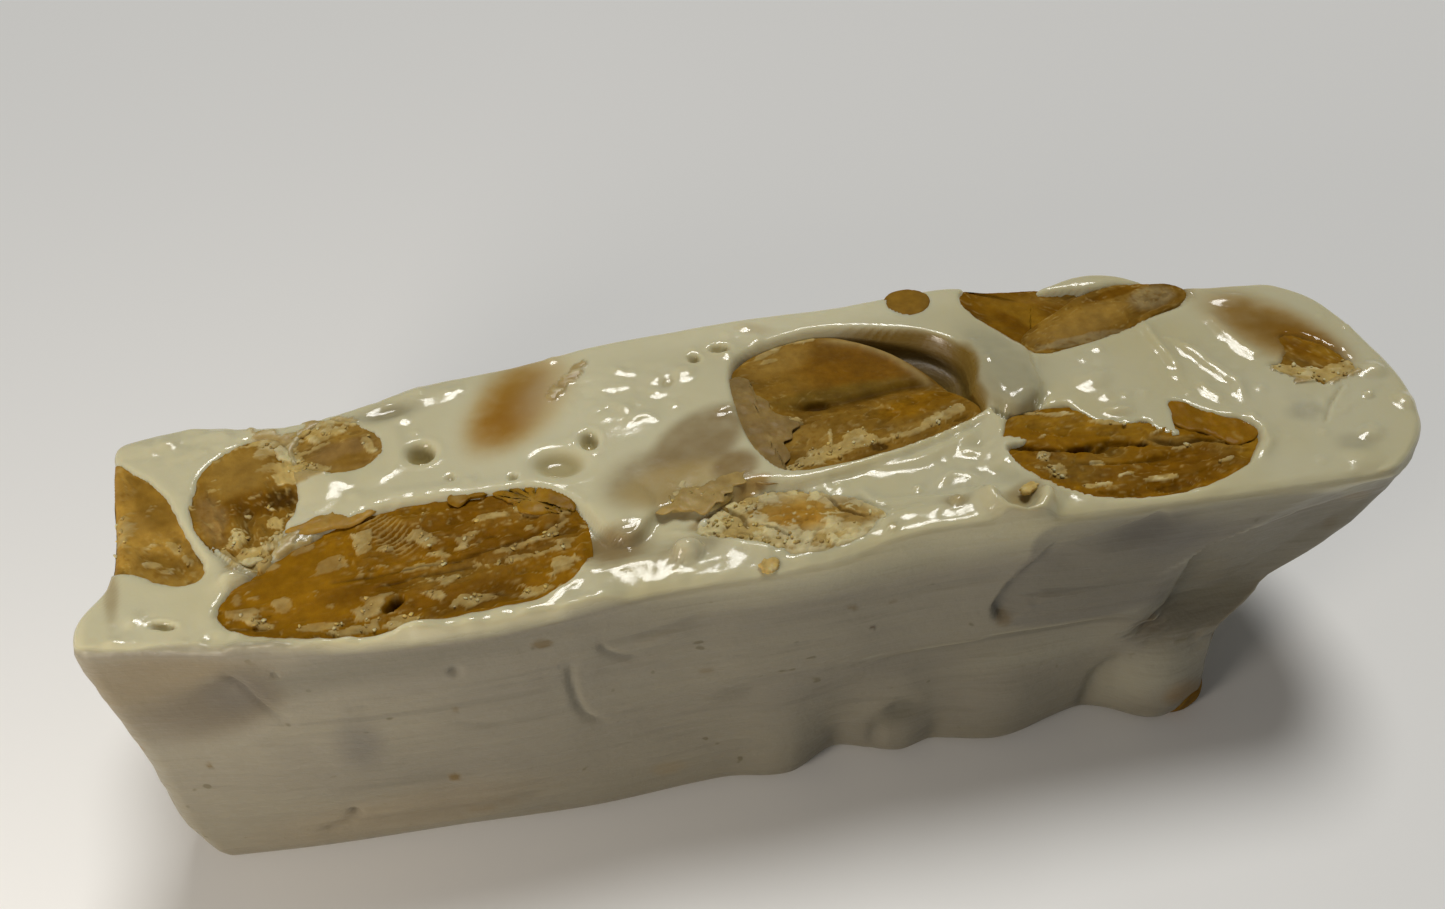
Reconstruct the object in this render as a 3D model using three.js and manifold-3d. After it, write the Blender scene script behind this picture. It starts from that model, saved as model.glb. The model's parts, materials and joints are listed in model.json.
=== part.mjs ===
// A bar of soft white nougat with whole roasted almonds, cut from a slab. The long upper face is the torn cut
// that opens the almonds; the two broad sides are smooth. The bar lies on its lower cut face.
// Millimetres. x runs along the bar, y from the front side to the back side, z up from the table.
import * as THREE from "three";
import { mergeVertices } from "three/addons/utils/BufferGeometryUtils.js";
import Module from "manifold-3d";

const wasm = await Module();
wasm.setup();

// Driving sizes. x = 0 is a datum near the middle of the bar, and y = 0 is the plane of the front side.
const HEIGHT = 26;
const LEFT_END = -47;
const RIGHT_END = 53;
const RIGHT_END_OF_FOOT = 38.6;
const DEPTH = 26.4;
const MIDDLE_OF_BASE = { x: 2.93, y: 13.07 }; // in the datum above; the part's origin
const RIM_ROUND = 1;
const FOOT_ROUND = 1.5;
const GAP = 0.35; // clear space between an almond and the nougat round it
const STEPS = { along: 32, across: 8, up: 6 };

// Edges of the bar, as [x, y] or [x, z] knots that a smooth curve runs through.
const FRONT_RIM_Y = [
  [-48, 2], [-43, 1.4], [-37, 0.2], [-29, -0.7], [-19, -0.9], [-9, 0], [2, 0], [12, 0.8], [20, 0.7], [34, 0.5], [54, 0.4],
];
const FRONT_RIM_Z = [[-48, 26.4], [-35, 25.8], [-20, 25.4], [-12, 25.8], [0, 25.9], [12, 26.8], [30, 26.3], [54, 26.1]];
const FRONT_FOOT_Y = [
  [-48, 0.2], [-35, -0.7], [-25, -0.9], [-15, -1.3], [-4, -0.8], [1.5, -1.4], [5.8, 0.3], [11, -1.1],
  [14, -0.6], [20, -1.6], [27.6, 0], [33.5, -1.7], [38, -1.2], [54, 0],
];
const BACK_RIM_Y = [
  [-48, 22.4], [-42, 23.5], [-35.5, 22.3], [-31, 22.8], [-24, 25], [-18, 25.6], [-8, 27.2],
  [2, 28], [12, 28], [21.5, 28.6], [27.5, 26.7], [34.5, 27.8], [41, 24.8], [47, 24], [54, 23.3],
];
const BACK_FOOT_Y = [[-48, 22.6], [-30, 23.4], [-12, 25.4], [8, 26.2], [26, 25.8], [40, 23.8], [54, 21]];

// The ends. In plan they are [y, x beyond the end]; the left one draws in towards the foot by [z, x], and the right
// one flares from the foot out to the rim by [z, share of the way].
const LEFT_END_IN_PLAN = [[0, -0.6], [4.5, -1.5], [8, 0.2], [12, 0.3], [17, -0.3], [21, -0.6], [25, -0.3]];
const LEFT_END_UNDERCUT = [[0, 3.1], [2, 2.2], [5, 1.3], [12, 1], [17, 0.5], [22, 0], [26, 0]];
const RIGHT_END_IN_PLAN = [
  [-0.4, -6], [2, -2.4], [5, 0.3], [10, 1.6], [15.5, 1.1], [18.5, 0.4], [21, -0.8], [22.6, -2.8], [24, -5.6],
];
const RIGHT_END_FLARE = [[0, 0], [9, 0], [10.5, 0.26], [12, 0.46], [14.5, 0.68], [17, 0.83], [21, 0.97], [24, 1]];

// The front ledge of the cut face, where the nougat pulled away lower than the rest. run is the width of its slopes.
const LEDGE = { x: [-12.5, 18], y: [0, 7.5], depth: 0.9, run: 2.5, lip: 0.12 };
// The facet sliced off the front side near the right end. From a line through x, z at the angle of direction, it
// sinks into the side by slope. It ends in the bands of z given for its foot and its rim.
const FACET = { x: 32, z: 17, direction: 38, slope: 0.3, deepest: 2.6, left: [30, 34], foot: [9, 12], rim: [23.5, 25.5] };
// The round lump at the right of the foot, which an almond fills.
const LUMP = { x: 33.5, z: 4, radiusX: 5, radiusZ: 6, stands: 1 };
const RIM_SHARE = 0.45; // the share of the front side, from the rim down, that keeps the rim's line
const CROWN_SHARE = 0.6; // the share of the depth over which the front rim's height runs out to HEIGHT

// Almonds. turn is the plan angle of the long axis, in degrees from +x. top is how far the almond's broken surface
// lies under the bar's cut face, and middle is the height of the almond's centre.
const KERNELS = [
  { name: "almond_left_end", x: -44.6, y: 13.6, middle: 24.3, long: 14.6, wide: 8.2, thick: 8, turn: -60, top: 0.4 },
  { name: "almond_front_left", x: -25.6, y: 6.7, middle: 24, long: 26.4, wide: 12, thick: 9, turn: 3, top: 0.7 },
  { name: "almond_back_left", x: -37.4, y: 14.8, middle: 24, long: 14, wide: 7.4, thick: 7, turn: 98, top: 0.9 },
  { name: "almond_back_left_half", x: -30.8, y: 19.6, middle: 24, long: 8.4, wide: 5.6, thick: 6, turn: 12, top: 0.7 },
  { name: "almond_veiled_left", x: -16.2, y: 21, middle: 23.3, long: 10.4, wide: 6, thick: 6, turn: 48, top: 0.3 },
  { name: "almond_centre_back", x: 10.1, y: 20.9, middle: 23, long: 17.4, wide: 9, thick: 7, turn: -12, top: 1.2 },
  { name: "almond_centre_front", x: 12, y: 14, middle: 23, long: 18.6, wide: 6, thick: 7, turn: 14, top: 1.2 },
  { name: "almond_veiled_centre", x: -4.4, y: 12.3, middle: 23, long: 12.4, wide: 7, thick: 7, turn: 36, top: 0.3 },
  { name: "almond_front_centre", x: 3.2, y: 5.9, middle: 22.4, long: 12.6, wide: 6.2, thick: 6.6, turn: -6, top: 0.2 },
  { name: "almond_front_right", x: 30.3, y: 7.8, middle: 24, long: 20.6, wide: 9.6, thick: 8.6, turn: -3, top: 0.7 },
  { name: "almond_back_right", x: 27, y: 24, middle: 24, long: 9.6, wide: 7, thick: 7, turn: 128, top: 0.8 },
  { name: "almond_back_right_half", x: 34.2, y: 22.9, middle: 24, long: 14.4, wide: 5.4, thick: 7, turn: 9, top: 0.5 },
  { name: "almond_right_end", x: 47.6, y: 16.8, middle: 23.8, long: 13.2, wide: 7.6, thick: 7.4, turn: -54, top: 0.6 },
  { name: "almond_chip_back", x: 17.6, y: 26.9, middle: 24.6, long: 3.8, wide: 2.4, thick: 3, turn: 8, top: 0.2 },
  { name: "almond_foot_right", x: 36.2, y: 0.3, middle: 1.4, long: 5.4, wide: 4.4, thick: 4.6, turn: 20, top: 0 },
];
const KERNEL_TAPER = 0.16; // how much narrower an almond is at its pointed end
const KERNEL_STEPS = { round: 12, along: 8 };
// The hollow that the split centre almond left when the cut pulled it aside.
const HOLLOW = { x: 10.8, y: 17.3, middle: 23.6, long: 21.6, wide: 15.6, thick: 8.6, turn: 4 };

const NOUGAT = new THREE.MeshStandardMaterial({ color: 0xd8cfa6, roughness: 0.3, metalness: 0 });
const ALMOND = new THREE.MeshStandardMaterial({ color: 0x8f6423, roughness: 0.6, metalness: 0 });

const lerp = THREE.MathUtils.lerp;
const clamp = THREE.MathUtils.clamp;
const smoothstep = THREE.MathUtils.smoothstep;

// The value at t of a smooth curve through knots of [t, value], which holds its end values beyond them.
function through(knots, t) {
  const last = knots.length - 1;
  if (t <= knots[0][0]) return knots[0][1];
  if (t >= knots[last][0]) return knots[last][1];
  const i = knots.findIndex((knot) => knot[0] > t) - 1;
  const slope = (a, b) => (knots[b][1] - knots[a][1]) / (knots[b][0] - knots[a][0]);
  const width = knots[i + 1][0] - knots[i][0];
  const share = (t - knots[i][0]) / width;
  const entering = slope(Math.max(i - 1, 0), i + 1) * width;
  const leaving = slope(i, Math.min(i + 2, last)) * width;
  const [low, high] = [knots[i][1], knots[i + 1][1]];
  const bend = (low - high) * 2 + entering + leaving;
  return low + share * (entering + share * (3 * (high - low) - 2 * entering - leaving + share * bend));
}

// 1 inside the range, falling to 0 over the run outside it.
function within(value, [from, to], run) {
  return smoothstep(value, from - run, from) * (1 - smoothstep(value, to, to + run));
}

// Height of the cut face. across is the share of the way from the front side to the back side.
function cutFace(x, y, across) {
  const crown = lerp(through(FRONT_RIM_Z, x), HEIGHT, smoothstep(across, 0, CROWN_SHARE));
  const ledge = within(x, LEDGE.x, LEDGE.run) * within(y, LEDGE.y, LEDGE.run) * smoothstep(across, 0, LEDGE.lip);
  return crown - LEDGE.depth * ledge;
}

// Distance of the front side from its plane, positive into the bar.
function frontSide(x, z) {
  const toRim = smoothstep(z / HEIGHT, 0, 1 - RIM_SHARE);
  const plain = lerp(through(FRONT_FOOT_Y, x), through(FRONT_RIM_Y, x), toRim);
  const angle = THREE.MathUtils.degToRad(FACET.direction);
  const beyond = (x - FACET.x) * Math.sin(angle) - (z - FACET.z) * Math.cos(angle);
  const kept = smoothstep(z, ...FACET.foot) * (1 - smoothstep(z, ...FACET.rim)) * smoothstep(x, ...FACET.left);
  const facet = clamp(beyond * FACET.slope, 0, FACET.deepest) * kept;
  const reach = Math.hypot((x - LUMP.x) / LUMP.radiusX, (z - LUMP.z) / LUMP.radiusZ);
  return plain + facet - LUMP.stands * (1 - smoothstep(reach, 0.2, 1));
}

function backSide(x, z) {
  return lerp(through(BACK_FOOT_Y, x), through(BACK_RIM_Y, x), z / HEIGHT);
}

function leftEnd(y, z) {
  return LEFT_END + through(LEFT_END_IN_PLAN, y) + through(LEFT_END_UNDERCUT, z);
}

function rightEnd(y, z) {
  return lerp(RIGHT_END_OF_FOOT, RIGHT_END + through(RIGHT_END_IN_PLAN, y), through(RIGHT_END_FLARE, z));
}

// Pulls a point of a sharp box onto the same box with rounded edges.
function rounded(point, half) {
  const radius = lerp(FOOT_ROUND, RIM_ROUND, (point.z / half.z + 1) / 2);
  const core = point.clone();
  for (const axis of ["x", "y", "z"]) core[axis] = clamp(core[axis], radius - half[axis], half[axis] - radius);
  const out = point.clone().sub(core);
  return out.length() > 0 ? core.add(out.setLength(radius)) : point;
}

// The whole bar before the almonds are let in: a box of small squares, moved onto the bar's sides.
function barGeometry() {
  const half = new THREE.Vector3((RIGHT_END - LEFT_END) / 2, DEPTH / 2, HEIGHT / 2);
  const box = new THREE.BoxGeometry(half.x * 2, half.y * 2, half.z * 2, STEPS.along, STEPS.across, STEPS.up);
  const places = box.getAttribute("position");
  const point = new THREE.Vector3();
  for (let i = 0; i < places.count; i++) {
    point.fromBufferAttribute(places, i);
    const share = rounded(point, half).divide(half).addScalar(1).multiplyScalar(0.5);
    const z = share.z * HEIGHT;
    const roughX = lerp(LEFT_END, RIGHT_END, share.x);
    const roughY = lerp(frontSide(roughX, z), backSide(roughX, z), share.y);
    const x = lerp(leftEnd(roughY, z), rightEnd(roughY, z), share.x);
    const y = lerp(frontSide(x, z), backSide(x, z), share.y);
    places.setXYZ(i, x, y, share.z * cutFace(x, y, share.y));
  }
  return box;
}

// A closed geometry as a manifold solid.
function solid(geometry) {
  const bare = geometry.clone();
  for (const name of ["normal", "uv"]) bare.deleteAttribute(name);
  const merged = mergeVertices(bare, 1e-4);
  return new wasm.Manifold(
    new wasm.Mesh({
      numProp: 3,
      vertProperties: new Float32Array(merged.attributes.position.array),
      triVerts: new Uint32Array(merged.index.array),
    }),
  );
}

// An almond: a flattened egg with one narrower end, grown all round by extra.
function kernel(size, extra) {
  const egg = new THREE.SphereGeometry(1, KERNEL_STEPS.round, KERNEL_STEPS.along);
  egg.rotateZ(Math.PI / 2);
  const places = egg.getAttribute("position");
  for (let i = 0; i < places.count; i++) {
    const narrow = 1 - KERNEL_TAPER * places.getX(i);
    places.setXYZ(
      i,
      places.getX(i) * (size.long / 2 + extra),
      places.getY(i) * (size.wide / 2 + extra) * narrow,
      places.getZ(i) * (size.thick / 2 + extra) * narrow,
    );
  }
  egg.rotateZ(THREE.MathUtils.degToRad(size.turn));
  egg.translate(size.x, size.y, size.middle);
  return solid(egg);
}

function largestPiece(shape) {
  return shape.decompose().reduce((best, piece) => (piece.volume() > best.volume() ? piece : best));
}

function mesh(name, shape, material) {
  const made = shape.getMesh();
  const geometry = new THREE.BufferGeometry();
  geometry.setAttribute("position", new THREE.BufferAttribute(new Float32Array(made.vertProperties), 3));
  geometry.setIndex(new THREE.BufferAttribute(new Uint32Array(made.triVerts), 1));
  geometry.computeVertexNormals();
  const piece = new THREE.Mesh(geometry, material);
  piece.name = name;
  return piece;
}

const bar = solid(barGeometry());
const nougatBar = new THREE.Group();
let nougat = bar.subtract(kernel(HOLLOW, 0));
let placed = null;
for (const size of KERNELS) {
  const trimmed = kernel(size, 0).intersect(bar.translate([0, 0, -size.top]));
  const clear = placed ? trimmed.subtract(placed) : trimmed;
  nougatBar.add(mesh(size.name, largestPiece(clear), ALMOND));
  const pocket = kernel(size, GAP);
  nougat = nougat.subtract(pocket);
  placed = placed ? placed.add(pocket) : pocket;
}
nougatBar.add(mesh("nougat", largestPiece(nougat), NOUGAT));
nougatBar.position.set(-MIDDLE_OF_BASE.x, -MIDDLE_OF_BASE.y, 0);

export default nougatBar;
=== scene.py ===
"""Builds the looks of a nougat bar: soft white nougat, torn open along its upper face, with broken almonds.

Lengths are millimetres in the bar's datum: x runs along the bar, y from the front side to the back side, and
z up from the table. They become metres round the middle of the base when a mesh is finished.
"""

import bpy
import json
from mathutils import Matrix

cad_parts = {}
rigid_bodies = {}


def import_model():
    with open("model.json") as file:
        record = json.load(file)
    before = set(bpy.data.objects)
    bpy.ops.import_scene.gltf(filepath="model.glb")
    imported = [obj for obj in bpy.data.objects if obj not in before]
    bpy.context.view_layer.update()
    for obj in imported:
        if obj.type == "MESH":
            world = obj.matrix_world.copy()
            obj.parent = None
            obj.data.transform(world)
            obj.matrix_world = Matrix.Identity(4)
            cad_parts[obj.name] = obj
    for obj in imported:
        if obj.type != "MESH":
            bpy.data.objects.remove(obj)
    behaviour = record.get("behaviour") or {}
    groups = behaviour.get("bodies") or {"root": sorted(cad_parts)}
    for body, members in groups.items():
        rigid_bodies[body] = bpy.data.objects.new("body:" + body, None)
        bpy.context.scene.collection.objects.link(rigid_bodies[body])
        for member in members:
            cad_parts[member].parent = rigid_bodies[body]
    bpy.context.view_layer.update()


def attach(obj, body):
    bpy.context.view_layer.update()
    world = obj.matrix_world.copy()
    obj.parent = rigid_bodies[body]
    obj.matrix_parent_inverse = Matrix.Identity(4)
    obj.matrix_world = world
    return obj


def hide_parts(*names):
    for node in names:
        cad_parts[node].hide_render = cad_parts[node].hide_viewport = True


bl_info = {
    "name": "Nougat bar with almonds",
    "version": (1, 0, 0),
    "blender": (4, 5, 0),
    "location": "3D View > Sidebar > Nougat",
    "description": "Models a cut bar of almond nougat, piece by piece, round its packed solids",
    "category": "Object",
}

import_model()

import itertools
import json
import math

import bmesh
import bpy
import numpy as np
from mathutils import Vector

METRES = 0.001
MIDDLE_OF_BASE = (2.93, 13.07)

# ---- The bar's outer form ----
# A curve is given by knots that a smooth line runs through.

HEIGHT = 26.0
LEFT_END = -47.0
RIGHT_END = 53.0
RIGHT_END_OF_FOOT = 38.6
DEPTH = 26.4
HALF_BAR = np.array([(RIGHT_END - LEFT_END) / 2, DEPTH / 2, HEIGHT / 2])
RIM_ROUND = 1.0
FOOT_ROUND = 1.5
FRONT_RIM_Y = [
    (-48, 2), (-43, 1.4), (-37, 0.2), (-29, -0.7), (-19, -0.9), (-9, 0), (2, 0), (12, 0.8), (20, 0.7),
    (34, 0.5), (54, 0.4),
]
FRONT_RIM_Z = [
    (-48, 26.4), (-35, 25.8), (-20, 25.4), (-12, 25.8), (0, 25.9), (12, 26.8), (30, 26.3), (54, 26.1),
]
FRONT_FOOT_Y = [
    (-48, 0.2), (-35, -0.7), (-25, -0.9), (-15, -1.3), (-4, -0.8), (1.5, -1.4), (5.8, 0.3), (11, -1.1),
    (14, -0.6), (20, -1.6), (27.6, 0), (33.5, -1.7), (38, -1.2), (54, 0),
]
BACK_RIM_Y = [
    (-48, 22.4), (-42, 23.5), (-35.5, 22.3), (-31, 22.8), (-24, 25), (-18, 25.6), (-8, 27.2), (2, 28),
    (12, 28), (21.5, 28.6), (27.5, 26.7), (34.5, 27.8), (41, 24.8), (47, 24), (54, 23.3),
]
BACK_FOOT_Y = [(-48, 22.6), (-30, 23.4), (-12, 25.4), (8, 26.2), (26, 25.8), (40, 23.8), (54, 21)]
LEFT_END_IN_PLAN = [(0, -0.6), (4.5, -1.5), (8, 0.2), (12, 0.3), (17, -0.3), (21, -0.6), (25, -0.3)]
LEFT_END_UNDERCUT = [(0, 3.1), (2, 2.2), (5, 1.3), (12, 1), (17, 0.5), (22, 0), (26, 0)]
RIGHT_END_IN_PLAN = [
    (-0.4, -6), (2, -2.4), (5, 0.3), (10, 1.6), (15.5, 1.1), (18.5, 0.4), (21, -0.8), (22.6, -2.8),
    (24, -5.6),
]
RIGHT_END_FLARE = [(0, 0), (9, 0), (10.5, 0.26), (12, 0.46), (14.5, 0.68), (17, 0.83), (21, 0.97), (24, 1)]
LUMP = {"x": 33.5, "z": 4, "radius_x": 5, "radius_z": 6, "stands": 1}
# The share of the height where the front side keeps the rim's line, and of the depth in which the cut face
# goes from the front rim's height to the bar's.
RIM_SHARE = 0.45
CROWN_SHARE = 0.6

# The eye. Places on the cut face are given as seen from here on the plane z = HEIGHT, and those of the front
# side as seen from here on the plane y = 0. What lies lower or further in is moved along the line of sight.
EYE = np.array([-16.15, -61.15, 103.41])
EYE_TURN = -11.277
EYE_RISE = 46.0
LENS = 34.88
SENSOR = 36.0

# ---- Features ----
# Places are given as above. A spot is an x, a y, a radius along, a radius across and a turn in degrees. Its
# softness is the share of its radius over which its rim fades. Tones are linear red, green and blue.

TONES = {
    "amber": (0.175, 0.076, 0.002),
    "honey": (0.255, 0.120, 0.004),
    # some dark spots, and also painted shade in the almonds' low steps, creases and pits
    "dark": (0.060, 0.026, 0.001),
    "roast": (0.235, 0.127, 0.017),
    "tan": (0.305, 0.180, 0.036),
    "crumb": (0.450, 0.330, 0.125),
    "chalk": (0.600, 0.530, 0.310),
    "orange": (0.360, 0.140, 0.002),
    "glow": (0.370, 0.190, 0.022),
    "caramel": (0.275, 0.143, 0.010),
    "flake": (0.370, 0.265, 0.100),
    # painted shade on the front side
    "dusk_shade": (0.165, 0.128, 0.072),
    # a thin nougat film, and also painted shade under the tongue
    "film": (0.270, 0.180, 0.065),
    # a smoky veil over almonds, and also painted shade under the tongue
    "smoke_and_shade": (0.300, 0.220, 0.100),
    "mauve": (0.260, 0.155, 0.048),
    # a darker tone inside bubbles, cuts and the hollow, as painted shade in these recesses
    "hollow": (0.420, 0.330, 0.120),
    # brown stains and specks, and also painted shade in creases, pockets, the hollow and the front's notch
    "stain_and_shade": (0.150, 0.090, 0.012),
    "umber": (0.320, 0.200, 0.028),
    # painted on the hollow's wall, partly as painted shade
    "olive": (0.130, 0.105, 0.045),
    # real dark specks in the sides, and also painted shade in the front's notch and dents
    "ochre": (0.560, 0.410, 0.150),
    # this tone and the next are painted shade on the front side
    "dim_mauve_shade": (0.118, 0.105, 0.082),
    "tawny_shade": (0.215, 0.172, 0.100),
    "rosy": (0.320, 0.255, 0.160),
    "veil": (0.370, 0.215, 0.040),
    # painted shade, on the front side and on the cut face
    "shade": (0.185, 0.167, 0.118),
    # mostly painted shade, on the set-back facets, in dents and in the notch
    "grey": (0.150, 0.138, 0.115),
    # painted shade on the drip
    "dim": (0.430, 0.400, 0.255),
    # painted light, on the cut face's left and middle, on the beads and along the back
    "painted_light": (0.740, 0.700, 0.480),
    # painted light: highlights along ridges of the front side, and light on its lobes
    "pale": (0.360, 0.335, 0.245),
}

# The broken almonds:
#   outline, opening, covers: the almond, its pocket where that is smaller, and nougat that lies over it
#   turn, drop, level, slope: the grain's turn, how far it lies under the cut face, its lift and its tilt
#   dome, reach: how far its middle rises over its edge, and how far it goes on under the nougat
#   depth, lip, ragged, veiled: its pocket's wall, rim and unevenness, or True where it has no pocket
#   plates, fibre, chunked: heights of its broken layers, its fibres and its crumbled chunks
#   tone, tones: its ground tone, and spots of other tones with their softness
#   crumbs, chalky, scraps: how crumbly it is, how pale its scraps are, and some scraps' places and sizes
#   smooths, pits, combs: spots that aren't broken, that go in by a depth, or that have fine waves at a pitch
#   edges, creases: lines with their width, their height or depth, and an edge's tone; creases and pits are
#   painted dark, as shade
ALMONDS = {}
ALMONDS["almond_left_end"] = dict(
    outline=[
        (-48.5, 20.5), (-45.5, 18.7), (-43.9, 17), (-42.7, 15), (-41.9, 13), (-41, 11), (-40.3, 9.6),
        (-40, 8.2), (-40.5, 7.2), (-41.5, 7.1), (-43, 7.6), (-45, 8.9), (-48.5, 10.4),
    ],
    turn=-62, drop=0.15, slope=(-0.04, 0), dome=-0.2, depth=0.7, lip=0.03, plates=0.12, fibre=0.04,
    tone="veil", crumbs=0.4, chalky=0.5,
    tones=[
        (-44, 15.5, 1.2, 3.6, 24, 0.8, "roast"), (-42.5, 9, 2.4, 1, -30, 0.8, "roast"),
        (-45.6, 12.6, 0.7, 3.4, 6, 0.8, "veil"),
    ],
    smooths=[(-43.6, 15, 1.4, 3.6, 24), (-45.4, 13.5, 1.6, 2.4, 10)],
    scraps=[
        (-41.2, 9.2, 1.3, 0.5, -50), (-42.6, 8.4, 1, 0.35, -20), (-46, 13.4, 1.8, 2.4, 10),
        (-42.2, 10.6, 1.8, 0.7, -50), (-43.6, 9.2, 1.2, 0.5, -20),
    ],
)
ALMONDS["almond_front_left"] = dict(
    outline=[
        (-38.9, 4.4), (-38.2, 5.7), (-36.9, 6.8), (-34.6, 8.5), (-32, 10), (-28.5, 11.5), (-25, 11.9),
        (-20, 11.6), (-16.5, 11.6), (-14.2, 10.3), (-13.2, 8.2), (-13.1, 4.4), (-14, 2.4), (-16.4, 0.8),
        (-20, 0.4), (-24, 0), (-28.5, -0.2), (-32, 0.3), (-35.4, 1.2), (-37.6, 2.2), (-38.6, 3.2),
    ],
    turn=3, drop=0.22, slope=(0, -0.03), dome=0.1, depth=0.9, lip=0.05, plates=0.34, fibre=0.05,
    tone="honey", crumbs=0.5, chalky=0.3,
    tones=[
        (-24, 8.6, 5, 2, 6, 1, "amber"), (-27.6, 4, 4.4, 1, 4, 1, "amber"),
        (-16.3, 9.2, 2.2, 1.2, -20, 0.6, "tan"), (-22.5, 4.4, 3, 1.2, 8, 0.8, "roast"),
        (-18.5, 5.6, 4.6, 0.8, 12, 0.6, "tan"), (-20, 10.4, 2.4, 1, 0, 0.8, "amber"),
        (-26, 10.6, 3, 0.8, 8, 0.6, "honey"), (-22, 2.2, 5, 1.2, 4, 1, "amber"),
        (-18.4, 6.8, 4.6, 2.2, 10, 1.2, "amber"),
    ],
    smooths=[(-33.2, 6.6, 3.2, 2.4, 20), (-31.5, 3.4, 3.6, 1.7, 8), (-36.5, 5, 2, 1, 30)],
    scraps=[
        (-37, 3.6, 2.4, 0.9, -15), (-34.6, 3.9, 1.2, 1.3, 40), (-31.7, 1.4, 2.8, 0.6, -5),
        (-31, 6.8, 2, 1.7, 60), (-28.3, 2, 2.4, 2.2, 30), (-28.7, 8.6, 1.2, 2.2, -20),
        (-27.2, 7.6, 1, 0.7, 0), (-21.3, 7.6, 1.9, 0.7, 10), (-24.6, 8, 2.2, 1.2, -30),
        (-16.6, 9.4, 2.2, 1.5, -15), (-25, 5.4, 3, 0.5, 6), (-14.7, 5.6, 1.8, 1, 30),
        (-21.7, 1.6, 3.4, 0.9, 10), (-24, 2.6, 1.6, 0.7, -30), (-17, 1.6, 3.6, 0.7, 8),
        (-15, 3.8, 1.4, 1.2, 50), (-22.9, 3.7, 1.2, 0.5, 40), (-33, 8.7, 1.8, 0.5, 20),
        (-17, 6.2, 4.2, 0.5, 14), (-15.4, 5.4, 3, 0.5, 22), (-14.9, 7.2, 2.2, 0.5, 30),
        (-18.2, 4.8, 2.4, 0.6, 8), (-29.6, 0.6, 3.4, 0.7, -4), (-26.4, 0.8, 2.6, 0.8, 10),
        (-23.6, 6.4, 2.2, 0.5, -20), (-19.4, 9.2, 2.6, 0.7, 4), (-35.8, 2.4, 2, 0.6, -25),
        (-37.6, 4.9, 0.5, 1.3, 10),
    ],
    creases=[
        ([(-31, 5.2), (-27, 5.3), (-22, 5.6), (-17.5, 6.5), (-13.6, 8.2)], 0.14, 0.16),
        ([(-28, 4.2), (-24.8, 4.7), (-21, 4.8)], 0.12, 0.14),
    ],
    pits=[(-26.8, 2.3, 1, 0.42, 38, 1.1)],
    combs=[(-26.9, 9, 2.6, 1.3, -55, 0.42)],
)
ALMONDS["almond_back_left"] = dict(
    outline=[
        (-41.3, 14.6), (-40.9, 17.4), (-39.6, 19.3), (-37.8, 20.4), (-36, 20.8), (-34.6, 19.4), (-34, 17),
        (-33.5, 14), (-34.3, 11.5), (-35, 9.4), (-35.6, 7.9), (-36.6, 7.4), (-38, 8.8), (-39.6, 10.6),
        (-40.8, 12.6),
    ],
    turn=100, drop=0.12, dome=0.1, depth=0.5, lip=0.03, plates=0.3, fibre=0.04, tone="roast", crumbs=0.45,
    tones=[
        (-38, 17.3, 2.4, 2.6, 20, 0.6, "tan"), (-36.6, 13.6, 2.6, 1.8, 0, 0.9, "amber"),
        (-39.6, 13, 1, 2.6, 20, 0.7, "mauve"), (-37, 11.6, 1.8, 1.2, 0, 0.7, "roast"),
        (-34.8, 14.2, 1.1, 1, 0, 0.6, "dark"),
    ],
    smooths=[(-38, 17.3, 2.6, 2.6, 20)],
    scraps=[
        (-35.6, 19.5, 1.6, 2.2, -35), (-34.4, 19.2, 1, 2.2, 10), (-33.8, 16.6, 2.6, 1.6, -25),
        (-37.7, 10.6, 1.4, 1.8, -20), (-36.6, 9, 2.8, 1.2, 15), (-35.6, 8, 1.8, 1, 50),
        (-35.3, 11.8, 0.7, 1, 0), (-37.1, 12.9, 0.5, 0.3, 0), (-38.2, 8.9, 1.8, 0.5, -40),
        (-35.4, 13.2, 1.1, 0.2, -35),
    ],
)
ALMONDS["almond_back_left_half"] = dict(
    outline=[
        (-33.8, 19.2), (-32.8, 20.8), (-31.2, 21.9), (-29.4, 21), (-28, 20), (-27.3, 18.6), (-27.8, 17),
        (-29, 16.2), (-31, 15.9), (-32.6, 16.6), (-33.6, 17.8),
    ],
    turn=12, drop=0.12, dome=0.2, depth=0.5, lip=0.02, plates=0.2, fibre=0.03, tone="tan", crumbs=0.25,
    tones=[
        (-30, 17.9, 2.8, 1.6, 8, 0.7, "mauve"), (-29.6, 17.2, 1.6, 0.7, 8, 0.8, "roast"),
        (-31.2, 20.4, 1.8, 1, 0, 0.6, "tan"),
    ],
    smooths=[(-30.2, 17.9, 2.2, 1.4, 8)],
    scraps=[
        (-31.9, 20.2, 1.4, 1.8, -20), (-30.6, 20.6, 1.4, 1.4, 30), (-31.4, 19.3, 1.6, 0.6, 10),
        (-28.3, 18.6, 0.8, 1.8, 30),
    ],
)
ALMONDS["almond_veiled_left"] = dict(
    outline=[
        (-20.2, 17), (-18.8, 16.9), (-16.9, 18.2), (-15, 20.2), (-13.4, 22.6), (-13, 24), (-14.4, 24.2),
        (-16.6, 23.6), (-18.6, 21.6), (-20, 19.2),
    ],
    turn=50, drop=0.5, dome=0.2, depth=0, veiled=True, plates=0.1, fibre=0.03, tone="orange",
    tones=[(-17, 20.4, 2.4, 1.6, 50, 1, "orange")],
)
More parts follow.
